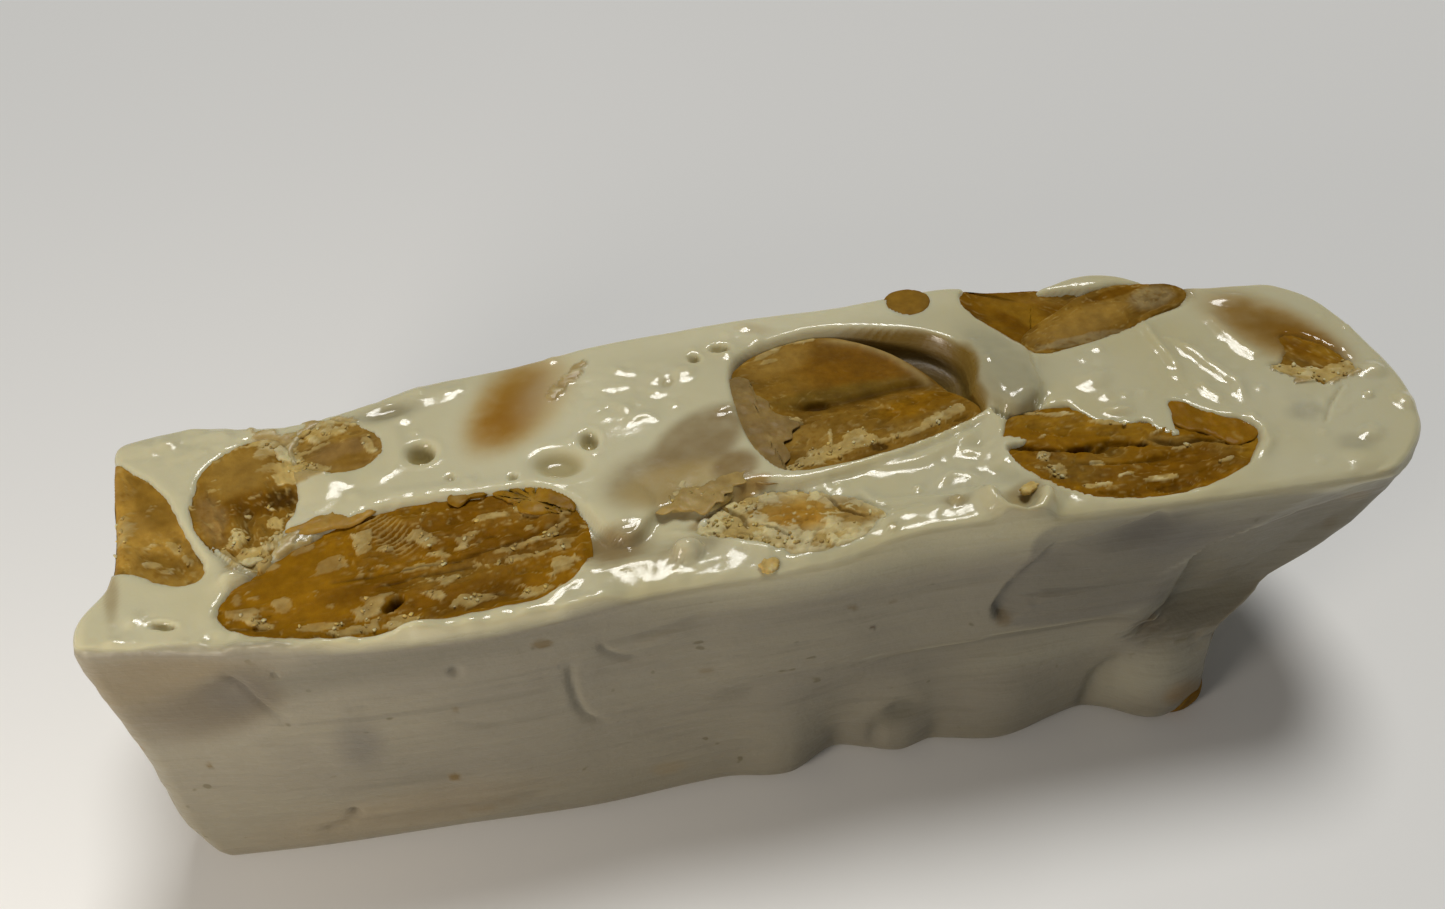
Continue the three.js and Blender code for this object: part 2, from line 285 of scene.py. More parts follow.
ALMONDS["almond_centre_back"] = dict(
    outline=[
        (1.5, 20.8), (2.6, 22.4), (4.6, 23.5), (7, 24.2), (9.4, 24.5), (11.4, 23.9), (14, 22.4), (16, 20.4),
        (17.4, 18.2), (17.7, 16.9), (14.6, 16.7), (10.6, 15.5), (6.6, 15.4), (4, 15.8), (3.1, 17.6),
    ],
    turn=-8, drop=0.9, slope=(-0.06, 0.02), dome=-0.3, depth=0, plates=0.06, fibre=0.02, tone="roast",
    tones=[
        (11.6, 20, 6, 3.6, -8, 1.4, "amber"), (5, 21.8, 2.8, 1.5, 24, 1, "tan"),
        (4.5, 18.4, 2.4, 1.6, 0, 1, "roast"), (14.8, 21, 0.4, 5, 44, 0.6, "tan"),
        # the last spot is painted shade along the crease under this half
        (9.6, 17, 6.4, 0.9, 2, 1, "stain_and_shade"),
    ],
    smooths=[(10.5, 19.8, 7, 3.6, -8)],
    scraps=[(4.2, 21.8, 1.6, 0.5, 15), (7.6, 23.9, 2.4, 0.8, 10), (4.8, 23, 2, 0.6, 28)],
    edges=[([(9.2, 23.5), (12.1, 22.5), (14.4, 20.5), (15.7, 18.3), (16.5, 16.6)], 0.4, 0.1, "flake")],
    creases=[([(4.6, 16.4), (7, 15.9), (10.2, 16.2), (14.1, 16.8), (17.2, 16.7)], 0.5, 0.3)],
    pits=[(6.9, 16.1, 1.3, 0.5, 0, 0.3)],
)
ALMONDS["almond_centre_front"] = dict(
    outline=[
        (3.2, 9.6), (3, 12.2), (4.6, 14.8), (7.5, 15.9), (11, 15.8), (14.4, 16.8), (17.5, 16.9),
        (19.2, 15.4), (19.8, 13.8), (17.5, 12.2), (14, 11.1), (10, 10.1), (6, 9.2),
    ],
    turn=14, drop=1, slope=(0, -0.08), dome=0.5, depth=0, plates=0.3, fibre=0.06, tone="roast", crumbs=0.1,
    chalky=0.8,
    tones=[
        (10.5, 13.8, 6.6, 1.9, 8, 0.9, "roast"), (5.4, 12.4, 1.8, 1.8, 0, 0.8, "tan"),
        (15, 14.6, 3.8, 1.1, 10, 0.8, "honey"), (10.4, 10.5, 0.8, 0.5, 0, 0.25, "dark"),
        # the second spot is painted shade along the crease between the halves
        (14.2, 12.2, 3, 0.6, 14, 0.5, "tan"), (8.2, 15.4, 3, 0.5, 6, 0.9, "stain_and_shade"),
    ],
    scraps=[
        (4.2, 10, 3.4, 1.1, 8), (6.6, 10.6, 3.6, 1.3, 10), (9, 11.3, 3.6, 1.3, 14), (9, 12.2, 1.6, 1.2, 30),
        (12.5, 11.5, 3.4, 0.7, 14), (16, 12.7, 3.4, 0.8, 16), (17.6, 13.4, 2, 1.1, 20),
        (13.8, 16.5, 1.2, 0.2, 10), (7, 12.2, 0.4, 2, -14), (5.3, 11, 0.9, 0.7, 0), (3.4, 9.7, 2, 1, 0),
        (14, 11.7, 5, 0.5, 14),
    ],
)
ALMONDS["almond_veiled_centre"] = dict(
    outline=[
        (-9.2, 8.2), (-7, 7.6), (-5.2, 7.4), (-3.4, 7.1), (-1.9, 7.9), (-0.6, 9.2), (-0.2, 11), (-1.4, 12.2),
        (-4, 12.4), (-7, 11.4), (-9, 9.8),
    ],
    turn=15, drop=0.3, dome=0.1, reach=0, depth=0.3, veiled=True, plates=0.1, fibre=0.03, chunked=0.2,
    tone="crumb", crumbs=0.4,
    tones=[(-4, 9.2, 4, 1.9, 10, 1, "crumb")],
    scraps=[(-5.9, 8.3, 2.8, 1.3, 25), (-3.6, 8.3, 3.4, 1.6, 5), (-2, 8.4, 2, 1.3, 30)],
)
ALMONDS["almond_front_centre"] = dict(
    outline=[
        (-4.6, 5), (-3, 6.8), (-1, 8), (1.6, 8.4), (4, 7.9), (6.6, 6.6), (8.6, 4.8), (8.9, 3.4), (7.4, 2.2),
        (5, 1.7), (2.6, 1.5), (0.4, 2), (-2, 3.3),
    ],
    turn=-8, drop=0, level=-0.5, slope=(0, -0.2), dome=0.5, depth=0.4, ragged=0.5, plates=0.12, fibre=0.03,
    chunked=0.22, tone="chalk", crumbs=0.5,
    tones=[
        (2.8, 5.2, 3.4, 1.9, -5, 0.9, "veil"), (2.8, 5, 2, 1, 0, 1.2, "glow"),
        (6.6, 4.4, 1.8, 1.2, -20, 0.8, "tan"), (-0.2, 6, 1.4, 0.7, 10, 0.8, "veil"),
    ],
    scraps=[
        (-2.2, 4.6, 4.4, 3.4, -20), (0.4, 2.9, 3.6, 1.6, -20), (4.4, 2.4, 3.4, 1.4, 10),
        (-0.6, 6.8, 3.4, 1.6, 20), (6.4, 3, 2.6, 1.2, 0), (3.4, 7.4, 4, 0.8, 0),
    ],
    creases=[
        ([(-2.6, 6.6), (-1.4, 5.6), (-1.2, 4.4)], 0.14, 0.4), ([(-0.6, 4.6), (0.8, 4), (1.6, 3)], 0.12, 0.3),
        ([(5.4, 6.2), (6, 4.8), (7.6, 4)], 0.12, 0.3),
    ],
)
ALMONDS["almond_front_right"] = dict(
    outline=[
        (20.2, 8.4), (20.6, 10.4), (21.8, 11.9), (25, 12.4), (29, 11.9), (32, 11), (35, 10.9), (37, 9.2),
        (39.4, 8), (40.2, 6.6), (39.2, 5), (37.5, 3.4), (34.4, 2.2), (31, 1.7), (27.4, 2), (24.4, 2.8),
        (22.2, 4.4), (20.9, 6.4),
    ],
    covers=[
        [(26.8, 12.6), (27.4, 10.6), (28.2, 9.7), (29.4, 9.2), (30.8, 9.1), (31.8, 9.2), (32.1, 8.2),
         (33, 7.4), (34.1, 7.3), (34.2, 8.6), (34.5, 10.2), (34.4, 12.4), (30.5, 13.4)],
        [(19.4, 9.8), (21, 9.9), (22.1, 9.3), (21.8, 8.8), (21, 8.8), (19.4, 8.8)],
    ],
    turn=-4, drop=0.4, dome=0.25, depth=1.1, lip=0.05, plates=0.36, fibre=0.06, tone="honey", crumbs=0.2,
    tones=[
        (26, 10.4, 5, 1.2, -14, 0.6, "caramel"), (24.6, 11.8, 3, 0.5, -14, 0.5, "honey"),
        (30, 8.6, 2.6, 1, -18, 0.6, "caramel"), (33.5, 4.4, 4.8, 1.6, 4, 0.8, "amber"),
        (28.4, 4.2, 3.4, 0.9, -4, 0.8, "amber"), (38.4, 4.8, 1.6, 0.7, 40, 0.7, "caramel"),
        (24, 5.6, 2.4, 1.2, -30, 0.8, "roast"), (30, 2.6, 5, 0.6, 0, 0.5, "amber"),
        (37.4, 5.9, 2.2, 0.9, 30, 0.8, "roast"), (33, 6.7, 2.6, 0.6, -10, 0.6, "tan"),
        (27.4, 6.4, 1.8, 0.8, 10, 0.6, "roast"), (22.8, 7.6, 1.6, 0.8, -30, 0.6, "amber"),
    ],
    scraps=[
        (23.2, 5.4, 1.6, 0.9, -30), (25.4, 3.6, 1.8, 0.5, -10), (28, 4, 1.6, 0.5, 14),
        (22.6, 7, 0.9, 1.2, 0), (30.4, 3.2, 2.2, 0.35, -2), (33.4, 5.9, 1.6, 0.4, 8),
        (24.8, 11.4, 4.4, 0.35, -14), (28.6, 9.6, 2.6, 0.4, -20), (26.4, 5.6, 1, 0.5, -20),
        (35.8, 3.8, 1.4, 0.3, 14),
    ],
    creases=[
        ([(20.8, 8.6), (22.4, 8), (23.8, 7.4), (25, 7.5), (27, 7), (28.2, 7.6), (29.6, 7.3), (30.6, 6.8)],
         0.2, 0.5),
        ([(31.2, 7.2), (33.2, 6.4), (35.4, 6.6), (37, 5.6), (39.4, 5.8)], 0.2, 0.4),
        ([(24.6, 6), (28, 5.2), (32, 5.2)], 0.12, 0.2),
    ],
    pits=[(25.6, 7.4, 1.3, 0.36, 4, 1), (30.6, 6.9, 0.5, 0.3, 0, 0.7)],
)
ALMONDS["almond_back_right"] = dict(
    outline=[
        (22.2, 26.2), (22.9, 27.6), (25, 26.9), (27.6, 26.4), (30.6, 26), (33.8, 25.6), (36.6, 25.4),
        (34.6, 24.4), (31.4, 23.6), (29, 22.6), (27, 21.6), (25.9, 19.2), (25.1, 19.8), (24.2, 21.4),
        (22.8, 24),
    ],
    turn=-50, drop=0.35, dome=-0.45, depth=1, lip=0.03, plates=0.12, fibre=0.03, tone="amber",
    tones=[
        (26.4, 23.6, 3.6, 2.4, -60, 1.2, "caramel"), (25.6, 22.4, 2.6, 0.7, -60, 0.8, "amber"),
        (30.6, 24.8, 2.6, 1, -20, 0.8, "roast"),
    ],
    smooths=[(26, 23.6, 3.6, 2.6, -60)],
)
ALMONDS["almond_back_right_half"] = dict(
    outline=[
        (25.9, 19.1), (26.2, 20.8), (27.4, 21.9), (30, 23.2), (32.4, 24.5), (35, 25.4), (38, 25.3),
        (40.6, 25), (41.6, 23.6), (40.4, 22.3), (37.6, 21.4), (35.6, 20.4), (32.4, 19.4), (29, 18.8),
        (26.9, 18.5),
    ],
    turn=16, drop=0.2, dome=0.6, depth=1, lip=0.04, plates=0.18, fibre=0.04, tone="roast",
    tones=[
        (31.6, 21.6, 5.4, 1.5, 20, 0.9, "tan"), (38.4, 23.4, 2.2, 1.3, 20, 0.5, "smoke_and_shade"),
        (35.2, 24.5, 3, 0.5, 12, 0.4, "amber"), (30.6, 19.4, 4.4, 0.5, 6, 0.4, "smoke_and_shade"),
    ],
    smooths=[(31.6, 21.4, 4, 1.4, 20)],
)
ALMONDS["almond_right_end"] = dict(
    outline=[
        (43.2, 18.6), (44.2, 20.8), (46.4, 21.4), (48.8, 20), (50.6, 17.6), (51.6, 15), (51.5, 12.8),
        (50.2, 11), (48.4, 10.6), (46.4, 11.8), (44.6, 13.4), (43.4, 15.6),
    ],
    opening=[
        (44.2, 13.4), (45.6, 14), (46.6, 15.2), (47, 16.8), (48.4, 16.6), (50, 15.2), (51.4, 13.2),
        (51.1, 11.8), (49.6, 11), (47.6, 10.8), (45.6, 11.8),
    ],
    turn=-56, drop=0.25, dome=0, depth=0.4, ragged=0.4, plates=0.2, fibre=0.03, tone="roast", crumbs=0.1,
    tones=[
        (49, 14.8, 3.2, 1.6, -40, 0.9, "honey"), (48.2, 14.6, 1.9, 0.8, -36, 0.7, "amber"),
        (49.8, 13.8, 1.4, 0.8, -40, 0.6, "caramel"),
    ],
    scraps=[
        (45.4, 12.6, 3, 1.3, -30), (49, 11.6, 3.8, 1.3, 8), (47.2, 11.9, 2.8, 1.3, -14),
        (50.6, 12, 1.6, 1, 40),
    ],
)
ALMONDS["almond_chip_back"] = dict(
    outline=[(15.9, 26.9), (16.6, 28), (18, 28.2), (19.1, 27.6), (19.1, 26.6), (18.2, 25.8), (16.9, 25.7)],
    turn=8, drop=0.03, dome=0.06, depth=0.3, plates=0.08, fibre=0.02, tone="roast",
    smooths=[(17.5, 27, 2, 2, 0)],
)

# The almond in the lump at the right of the foot.
FOOT_ALMOND = {"at": (36.2, 0.3), "z": 1.4, "radii": (2.7, 2.2), "radius_z": 2.3, "turn": -20}
# What almonds share: the reach and raggedness of most, the depth of a pocket's middle and of an almond's own,
# how far one stands out of the side that cuts it, how it rounds off there, the least blue of a tone that
# takes chalk, and the number of different seeds.
USUAL_REACH = 0.5
USUAL_RAGGED = 0.12
POCKET_BOWL = 2.2
ALMOND_DEPTH = 2.6
SHOWS_BY = 0.12
END_RUN, END_DROP = 0.9, 0.8
PALE_ENOUGH = 0.06
SEEDS = 997

# The front side's slanting facet at the right lies past a line through x and z. It sets in over the left and
# the foot, and ends over the rim.
FACET = {
    "x": 32, "z": 17, "direction": 38, "slope": 0.3, "deepest": 2.6, "left": (30, 34), "foot": (9, 12),
    "rim": (23.5, 25.5),
}
# Swells just behind the front rim: from x, to x, height and how far back they run out.
SWELLS = [(-37, -25, 0.6, 1.9), (-24.5, -12.8, 0.8, 2.3), (9, 16.6, 0.5, 1.7)]
# The lower ledge along the front climbs to a crest at one distance from the rim, and falls to a valley.
LEDGE = {"left": -12.2, "right": 18.5, "run": 2.2, "crest": 2.7, "slope": 0.17, "valley": 0.75, "floor": 5.2}

# The upper shelf of the cut face, which ends in a tongue over the lower ledge along the front.
SHELF = [
    (-22, 14), (-15.5, 11.5), (-13.4, 9.6), (-12.2, 7.4), (-11, 5.6), (-9.9, 5), (-8.7, 5.8), (-7.4, 7.3),
    (-5.4, 7.6), (-3.5, 7.2), (-2, 8), (0, 9), (4, 8.5), (10, 9.4), (15, 10.8), (19.6, 12.6), (24, 14),
    (26, 40), (-24, 40),
]
# Closed outlines that the nougat stands up inside, with their height, the run of their rounded edge, and the
# y from and to which they fade.
LOBES = [
    ([(20.4, 21), (20.2, 16), (20.6, 13.8), (21.4, 12.5), (22.6, 12.2), (24, 13), (25, 14.4), (25.2, 17),
      (25.4, 18.8), (24.6, 20.5), (23, 23.5), (22.2, 26.5), (21, 26.5), (20.4, 23)], 1.15, 1.7, 16, 24),
    ([(-12.4, 9.2), (-11.6, 6.8), (-9.9, 5), (-8.4, 6.2), (-7.6, 8.6), (-9.4, 11)], 0.3, 1.3, 8, 12),
]
# Where the cut face is wet and rumpled: a spot and its strength.
WET = [
    (-6, 1.6, 4.6, 1.3, 6, 1.8), (-9.6, 6.3, 1.3, 1.2, 0, 1.5), (-42, 21.2, 5, 1.8, 6, 1.6),
    (-33, 22.4, 3, 1.2, 10, 1.5), (-27, 22.8, 3, 1.4, 8, 1.4), (-36.5, 1.2, 5, 1.3, -4, 1.5),
    (-28, 0.1, 5, 1.2, 2, 1.6), (-8, 20.6, 5, 3, 20, 1.2), (46.5, 8, 4, 1.8, 20, 1.2),
    (-8, 1.6, 3.6, 1.6, 8, 1), (1.5, 1.4, 7.5, 1.6, 4, 1), (13.8, 3, 3.4, 1.8, 4, 1),
    (-19, 0, 9, 1.6, 3, 0.9), (2.5, 1.1, 6, 1, 4, 1.6), (-15.5, 2.2, 2.4, 1.8, 40, 1),
    (-31, 13.4, 3, 2, -20, 0.5), (-25, 12.9, 4, 0.9, 0, 0.8), (2, 24.6, 3, 1.4, 8, 1),
    (-6, 20.4, 3, 2.6, 0, 0.7), (-23, 23.4, 4, 1.2, 6, 0.7), (-44, 21.4, 3, 1.6, 0, 0.7),
    (-44, 3.6, 2.6, 1.6, 0, 0.8), (38.5, 14, 5, 4.5, 0, 0.6), (30, 15.6, 2.4, 1.8, 0, 1),
    (31, 12.6, 6, 0.9, -6, 1), (18.5, 8, 2.6, 2, 30, 1), (8, 7.8, 4, 1, 6, 0.8), (41, 6, 2, 3, 0, 0.8),
    (52, 14, 1.6, 5, 10, 0.7), (17, 8.6, 3.2, 2.6, 20, 1.5), (12.4, 3.4, 4, 1.6, 4, 0.7),
    (48.6, 4.8, 1.8, 1.4, 20, 1), (22.5, 16, 1.8, 4, 10, 0.7), (-36, 0.8, 6, 1.2, -8, 0.8),
    (-42, 12, 0.8, 6, -4, 0.5),
]
# Round open bubbles and shallow hollows: a spot and its depth.
BUBBLES = [
    (-24.3, 16.9, 1.2, 1.15, -20, 1.5), (-11.4, 15.7, 0.8, 1.05, 0, 1), (-14, 13.7, 2.3, 1.6, -12, 0.75),
    (-17.6, 12.8, 0.42, 0.4, 0, 0.7), (-22.2, 13.8, 0.45, 0.45, 0, 0.3), (-1.7, 23.4, 0.55, 0.5, 0, 0.8),
    (0.6, 24.2, 0.9, 0.45, -5, 0.9), (-42.5, 3.6, 1, 0.34, -18, 0.8), (9.1, 2.2, 0.5, 0.55, 0, 0.35),
    (-4.3, 21, 0.8, 0.6, 40, 0.15), (-26.5, 21.8, 2, 0.8, 10, 0.25), (14.6, 3.9, 1.1, 0.8, 0, 0.25),
    (19.1, 3.2, 1.4, 1.3, 0, 0.3),
]
# Swells that stand up: a spot and its height.
BUMPS = [
    (19.4, 8.2, 2, 1.6, 30, 0.25), (-31.6, 14.8, 2.6, 2.8, -20, 0.36), (-33.5, 25.6, 3, 1, 0, 0.2),
    (29.6, 14.6, 2.2, 1.4, 20, 0.3), (34.8, 26.6, 4.4, 1.2, -6, 0.15), (48.6, 4.6, 1.6, 1.1, 20, 0.35),
    (52.4, 11.2, 1.5, 1.3, 0, 0.45), (53, 7.4, 1.2, 1.4, 0, 0.35), (46.6, 2.4, 2.2, 1.6, 0, 0.25),
    (-44.6, 21.5, 2.6, 1.4, 0, 0.2), (-23.4, 23.2, 3.4, 1.4, 0, 0.2), (-2.8, 21.9, 1.4, 1.2, 20, 0.25),
    (-9, 18, 4, 3, 0, 0.2), (45, 21.8, 2.6, 1.2, -10, 0.3), (30.2, 10.8, 1.6, 0.7, -10, 0.4),
]
# Round beads: x, y and radius. They stand up by a share of their radius.
BEAD_RISE = 1.05
BEADS = [
    (-5.9, 3, 1.15), (-4, 5.8, 0.65), (9.1, 2.2, 0.5), (14.6, 3.9, 0.6), (12.4, 6.4, 0.35), (50.6, 8.6, 0.4),
]
# Ridges and drawn threads: the line, its width and its height.
RIDGES = [
    ([(-34.5, 11.6), (-31, 12.6), (-27, 12.7), (-22, 12.6), (-17.5, 12.2), (-14.8, 11.4)], 0.8, 0.14),
    ([(-26.5, 20.6), (-26, 18.4), (-26.3, 15.6), (-28, 14.4)], 0.6, 0.12),
    ([(-38.8, 6.6), (-37.4, 7.1), (-36.6, 6.4)], 0.7, 0.4),
    ([(9.5, 9.2), (13, 9.3), (16, 10.1), (18.8, 11.3)], 0.6, 0.4),
    ([(8, 7.4), (8.6, 5.9), (10, 5.3), (12, 5.2), (14, 4.8)], 0.5, 0.3),
    ([(-7, 5.6), (-5, 5), (-3, 3.6), (-1, 2.3), (0.4, 1.7)], 0.5, 0.4),
    ([(17, 4.8), (16.9, 2.9), (17.6, 1.6), (18.9, 1), (20.3, 1.4), (21.2, 2.6), (21.3, 3.9)], 0.75, 1.3),
    ([(36.3, 20.4), (36.4, 18), (36.7, 15.8), (36.8, 14.4)], 0.45, 0.3),
    ([(38.2, 17.4), (39, 16), (39.7, 14), (40.8, 12), (40.5, 10.2)], 0.55, 0.35),
    ([(37.8, 12.6), (38.1, 11.4), (38.8, 10.2)], 0.5, 0.25),
    ([(42.1, 20.6), (42.6, 17.6), (43.4, 15.6), (44, 14.4)], 0.7, 0.3),
    ([(-7.9, 17.1), (-7, 17.6), (-6.2, 17.4)], 0.35, 0.2), ([(47, 0.5), (48.6, 0.9)], 0.4, 0.2),
    ([(-1, 16.9), (0.4, 17.4)], 0.35, 0.25), ([(25.2, 14.6), (25.4, 16.6), (25.8, 18.2)], 0.4, 0.25),
    ([(40.4, 6.6), (40.2, 5.2), (39, 4)], 0.45, 0.25), ([(21.6, 4.4), (23.4, 3.2), (25, 2.2)], 0.4, 0.25),
    ([(14.2, 6.6), (15.2, 7.4), (16.4, 7.2), (17.4, 6.2)], 0.4, 0.3),
    ([(16.6, 9.6), (18.2, 9.2), (19.4, 9.8)], 0.4, 0.3),
    ([(-16.2, 0.7), (-14.4, 1.6), (-13.2, 3.8)], 0.4, 0.3),
    ([(-27, -0.5), (-22, -0.1), (-20, 0.1), (-17.5, 0.4), (-15.5, 0.9), (-13.6, 2), (-12.8, 3.6)],
     0.8, 0.26),
]
# Fine cuts and cracks: the line, its width and its depth.
CUTS = [
    ([(-41.3, 14.6), (-40.8, 12.6), (-39.6, 10), (-38, 7.9), (-36.5, 6.6)], 0.16, 0.35),
    ([(45.6, 6.4), (47, 8.2), (49.2, 10.2)], 0.14, 0.25),
    ([(20.6, 13.4), (21.2, 12.2), (22.4, 11.7), (23.8, 12.2), (25.2, 13.6)], 0.3, 0.7),
    ([(26, 18.7), (29, 18.9), (33, 19.9), (37, 21.2), (41.4, 22.4)], 0.25, 0.3),
]
# Small swells that catch the light: x, y and size. They stand up by a share of their size.
SPARK_RISE = 0.36
SPARKS = [
    (-44, 22.1, 0.3), (-43.3, 21.4, 0.45), (-39.2, 21.9, 0.35), (-37.8, 21.2, 0.35), (-44.5, 4.5, 0.5),
    (-45.7, 2.8, 0.4), (-38.2, 7, 0.6), (-41, 1.9, 0.3), (-39.8, 1.6, 0.4), (-37.3, 1.9, 0.4),
    (-34.7, 0, 0.45), (-32.8, -0.2, 0.5), (-31.6, -0.3, 0.4), (-30.2, -0.6, 0.5), (-26.5, -0.8, 0.5),
    (-25.2, -1.1, 0.4), (-21.6, -1.1, 0.5), (-19.4, -0.2, 0.6), (-17.8, -0.4, 0.6), (-15, -0.6, 0.5),
    (-13.6, -0.2, 0.4), (-29.3, 13.3, 0.4), (-25.5, 20.8, 0.45), (-24.6, 19.2, 0.3), (-24.1, 23.9, 0.45),
    (-21.9, 23.2, 0.4), (-20.9, 23.5, 0.3), (-13.2, 25.5, 0.4), (-8.1, 23.1, 0.4), (-5.1, 21.6, 0.35),
    (-5.4, 20, 0.4), (-8.2, 18.6, 0.4), (-6, 17.1, 0.25), (-4.2, 18.4, 0.3), (-12.8, 16, 0.35),
    (-20.8, 13.2, 0.35), (3.2, 26.4, 0.4), (1.5, 25.8, 0.3), (3.8, 24.7, 0.5), (1, 23.3, 0.35),
    (-1.6, 24.5, 0.35), (21.2, 20.5, 0.4), (21.5, 17.8, 0.5), (23.6, 13.6, 0.6), (5.6, 8, 0.35),
    (6.6, 7.8, 0.35), (14.7, 8.1, 0.35), (18.6, 8.7, 0.4), (19.1, 7.4, 0.4), (15.3, 5.5, 0.35),
    (16.8, 6, 0.3), (31.4, 18, 0.4), (29.8, 12.8, 0.4), (31.5, 12.5, 0.35), (33, 12.5, 0.3),
    (36.4, 13.7, 0.4), (37.6, 18, 0.3), (36.6, 11.6, 0.35), (42.4, 11, 0.4), (38.8, 8.6, 0.4),
    (40.3, 8.1, 0.4), (43.3, 2.6, 0.35), (43.4, 22.9, 0.3), (51.5, 18.3, 0.3), (53, 16.6, 0.3),
    (53.4, 12, 0.35), (51.3, 10.8, 0.3), (45, 5.4, 0.35), (45.2, 1, 0.3), (-11.5, 3.1, 0.35),
    (-10, 6.7, 0.3),
]
# The hollow that the split almond in the middle lies in, and how far its wall and its bowl go down.
HOLLOW_WALL, HOLLOW_BOWL = 2.6, 1.4
HOLLOW = [
    (1.6, 11.6), (0.8, 14), (0.6, 18), (0.8, 21), (2, 23), (5, 24.3), (8.5, 25), (11.5, 24.8), (15, 24),
    (18, 23), (20, 21.3), (20.9, 19.5), (20.7, 17.5), (20.2, 16), (20.3, 14), (19.6, 13), (15, 11.2),
    (10, 10), (5, 9.6), (2.8, 10),
]
# Painted light on the cut face's brighter parts, at its left and middle: a spot, its softness and its
# strength.
PAINTED_LIGHT_PARTS = [(-34, 15, 20, 12, 0, 1.2, 0.35), (-9, 16, 11, 12, 0, 1.2, 0.4)]
# Soft stains: a spot, its softness, its tone and its strength. Besides stains, and almonds showing through
# the nougat, some are painted shade and some painted light, as the comments in the list say.
STAINS = [
    # the first spot is painted shade on the drip's face
    (22.2, 15.2, 1.7, 2.6, 10, 0.9, "shade", 0.6), (-3.1, 13, 3.2, 1.6, 20, 0.8, "smoke_and_shade", 0.6),
    (-1.6, 7.6, 1.9, 1, 40, 0.8, "tan", 0.9), (-3.6, 6.2, 1.7, 0.7, 20, 0.8, "tan", 0.8),
    (0.2, 8.9, 1.4, 0.6, 20, 0.8, "veil", 0.8), (-6, 3.4, 3, 1.3, 10, 1.2, "smoke_and_shade", 0.45),
    # these spots are painted shade in the hollow, over the almond's brown
    (15.9, 22.4, 2.2, 0.7, -36, 0.8, "stain_and_shade", 0.6), (18.2, 20.4, 2.4, 1.3, -52, 0.8, "stain_and_shade", 1),
    (19, 17.8, 1.2, 2.2, 10, 0.8, "stain_and_shade", 0.9), (19.2, 15.4, 0.9, 1.4, 10, 0.8, "stain_and_shade", 0.8),
    (-3, 14.2, 4.6, 2.5, 36, 0.5, "smoke_and_shade", 0.8), (-7.6, 10.8, 3.4, 2.4, 30, 1, "smoke_and_shade", 0.7),
    (-4.9, 9.6, 4.9, 2.3, 4, 0.7, "crumb", 0.75), (-5.6, 8.2, 1.6, 1.2, 10, 0.6, "tan", 0.3),
    # the second spot is painted shade under the tongue
    (-0.8, 10.9, 1.9, 1.5, 30, 0.7, "film", 0.85), (-11.9, 5.1, 1.7, 1.3, 0, 0.9, "film", 0.85),
    # painted light on the beads
    (-4, 5.7, 0.7, 0.7, 0, 0.5, "painted_light", 0.9), (-5.8, 3, 1, 1, 0, 0.5, "painted_light", 0.5),
    (-16.2, 20.9, 5.8, 3.3, 50, 0.8, "ochre", 0.9), (-16.5, 20.7, 4.8, 2.5, 52, 1, "glow", 1),
    (-16.2, 21.2, 3, 1.2, 52, 1.1, "caramel", 0.35), (-17.4, 19.6, 2.8, 1.3, 48, 1.2, "orange", 0.2),
    (46.8, 17.4, 5.8, 3.2, -52, 0.9, "veil", 0.85), (47.4, 16.8, 4.6, 2, -50, 1.2, "roast", 0.8),
    # the second spot is painted light along the back
    (48.6, 15.8, 3, 1.4, -46, 1.1, "honey", 0.8), (6, 26.6, 15, 1.7, 2, 1.5, "painted_light", 0.75),
    (-12, 22, 3, 5, -30, 1.4, "painted_light", 0.4), (-16.8, 23.8, 2.6, 1.6, 30, 1.2, "veil", 0.4),
    (-26.6, 21.8, 2.6, 1, 10, 1.2, "shade", 0.4), (41.2, 24.2, 0.9, 1.6, 20, 0.9, "smoke_and_shade", 0.7),
    (44.6, 7.8, 1.4, 0.9, 0, 1.2, "grey", 0.25), (46.8, 3.8, 1.4, 1, 0, 1.2, "grey", 0.25),
    (19.9, 3.8, 1.4, 1, 30, 0.8, "film", 0.5), (-46.2, 7, 0.5, 2.4, 6, 1, "film", 0.5),
    (4, 26, 1.4, 0.6, -20, 1.2, "veil", 0.25), (-37.5, 7.6, 1.6, 0.8, -40, 1, "smoke_and_shade", 0.4),
    (18.6, 2.6, 1.4, 1.2, 0, 1.2, "film", 0.25), (-32.6, 9.8, 1.6, 0.8, 10, 1, "smoke_and_shade", 0.5),
    # the second spot is painted shade under the tongue
    (14.5, 3.9, 1.2, 0.8, 0, 1, "smoke_and_shade", 0.35), (-10.6, 4.4, 2.4, 1.7, 30, 1.2, "smoke_and_shade", 0.85),
    # painted shade on the drip
    (22.5, 17.5, 2.3, 5.5, 10, 1, "dim", 0.9),
]
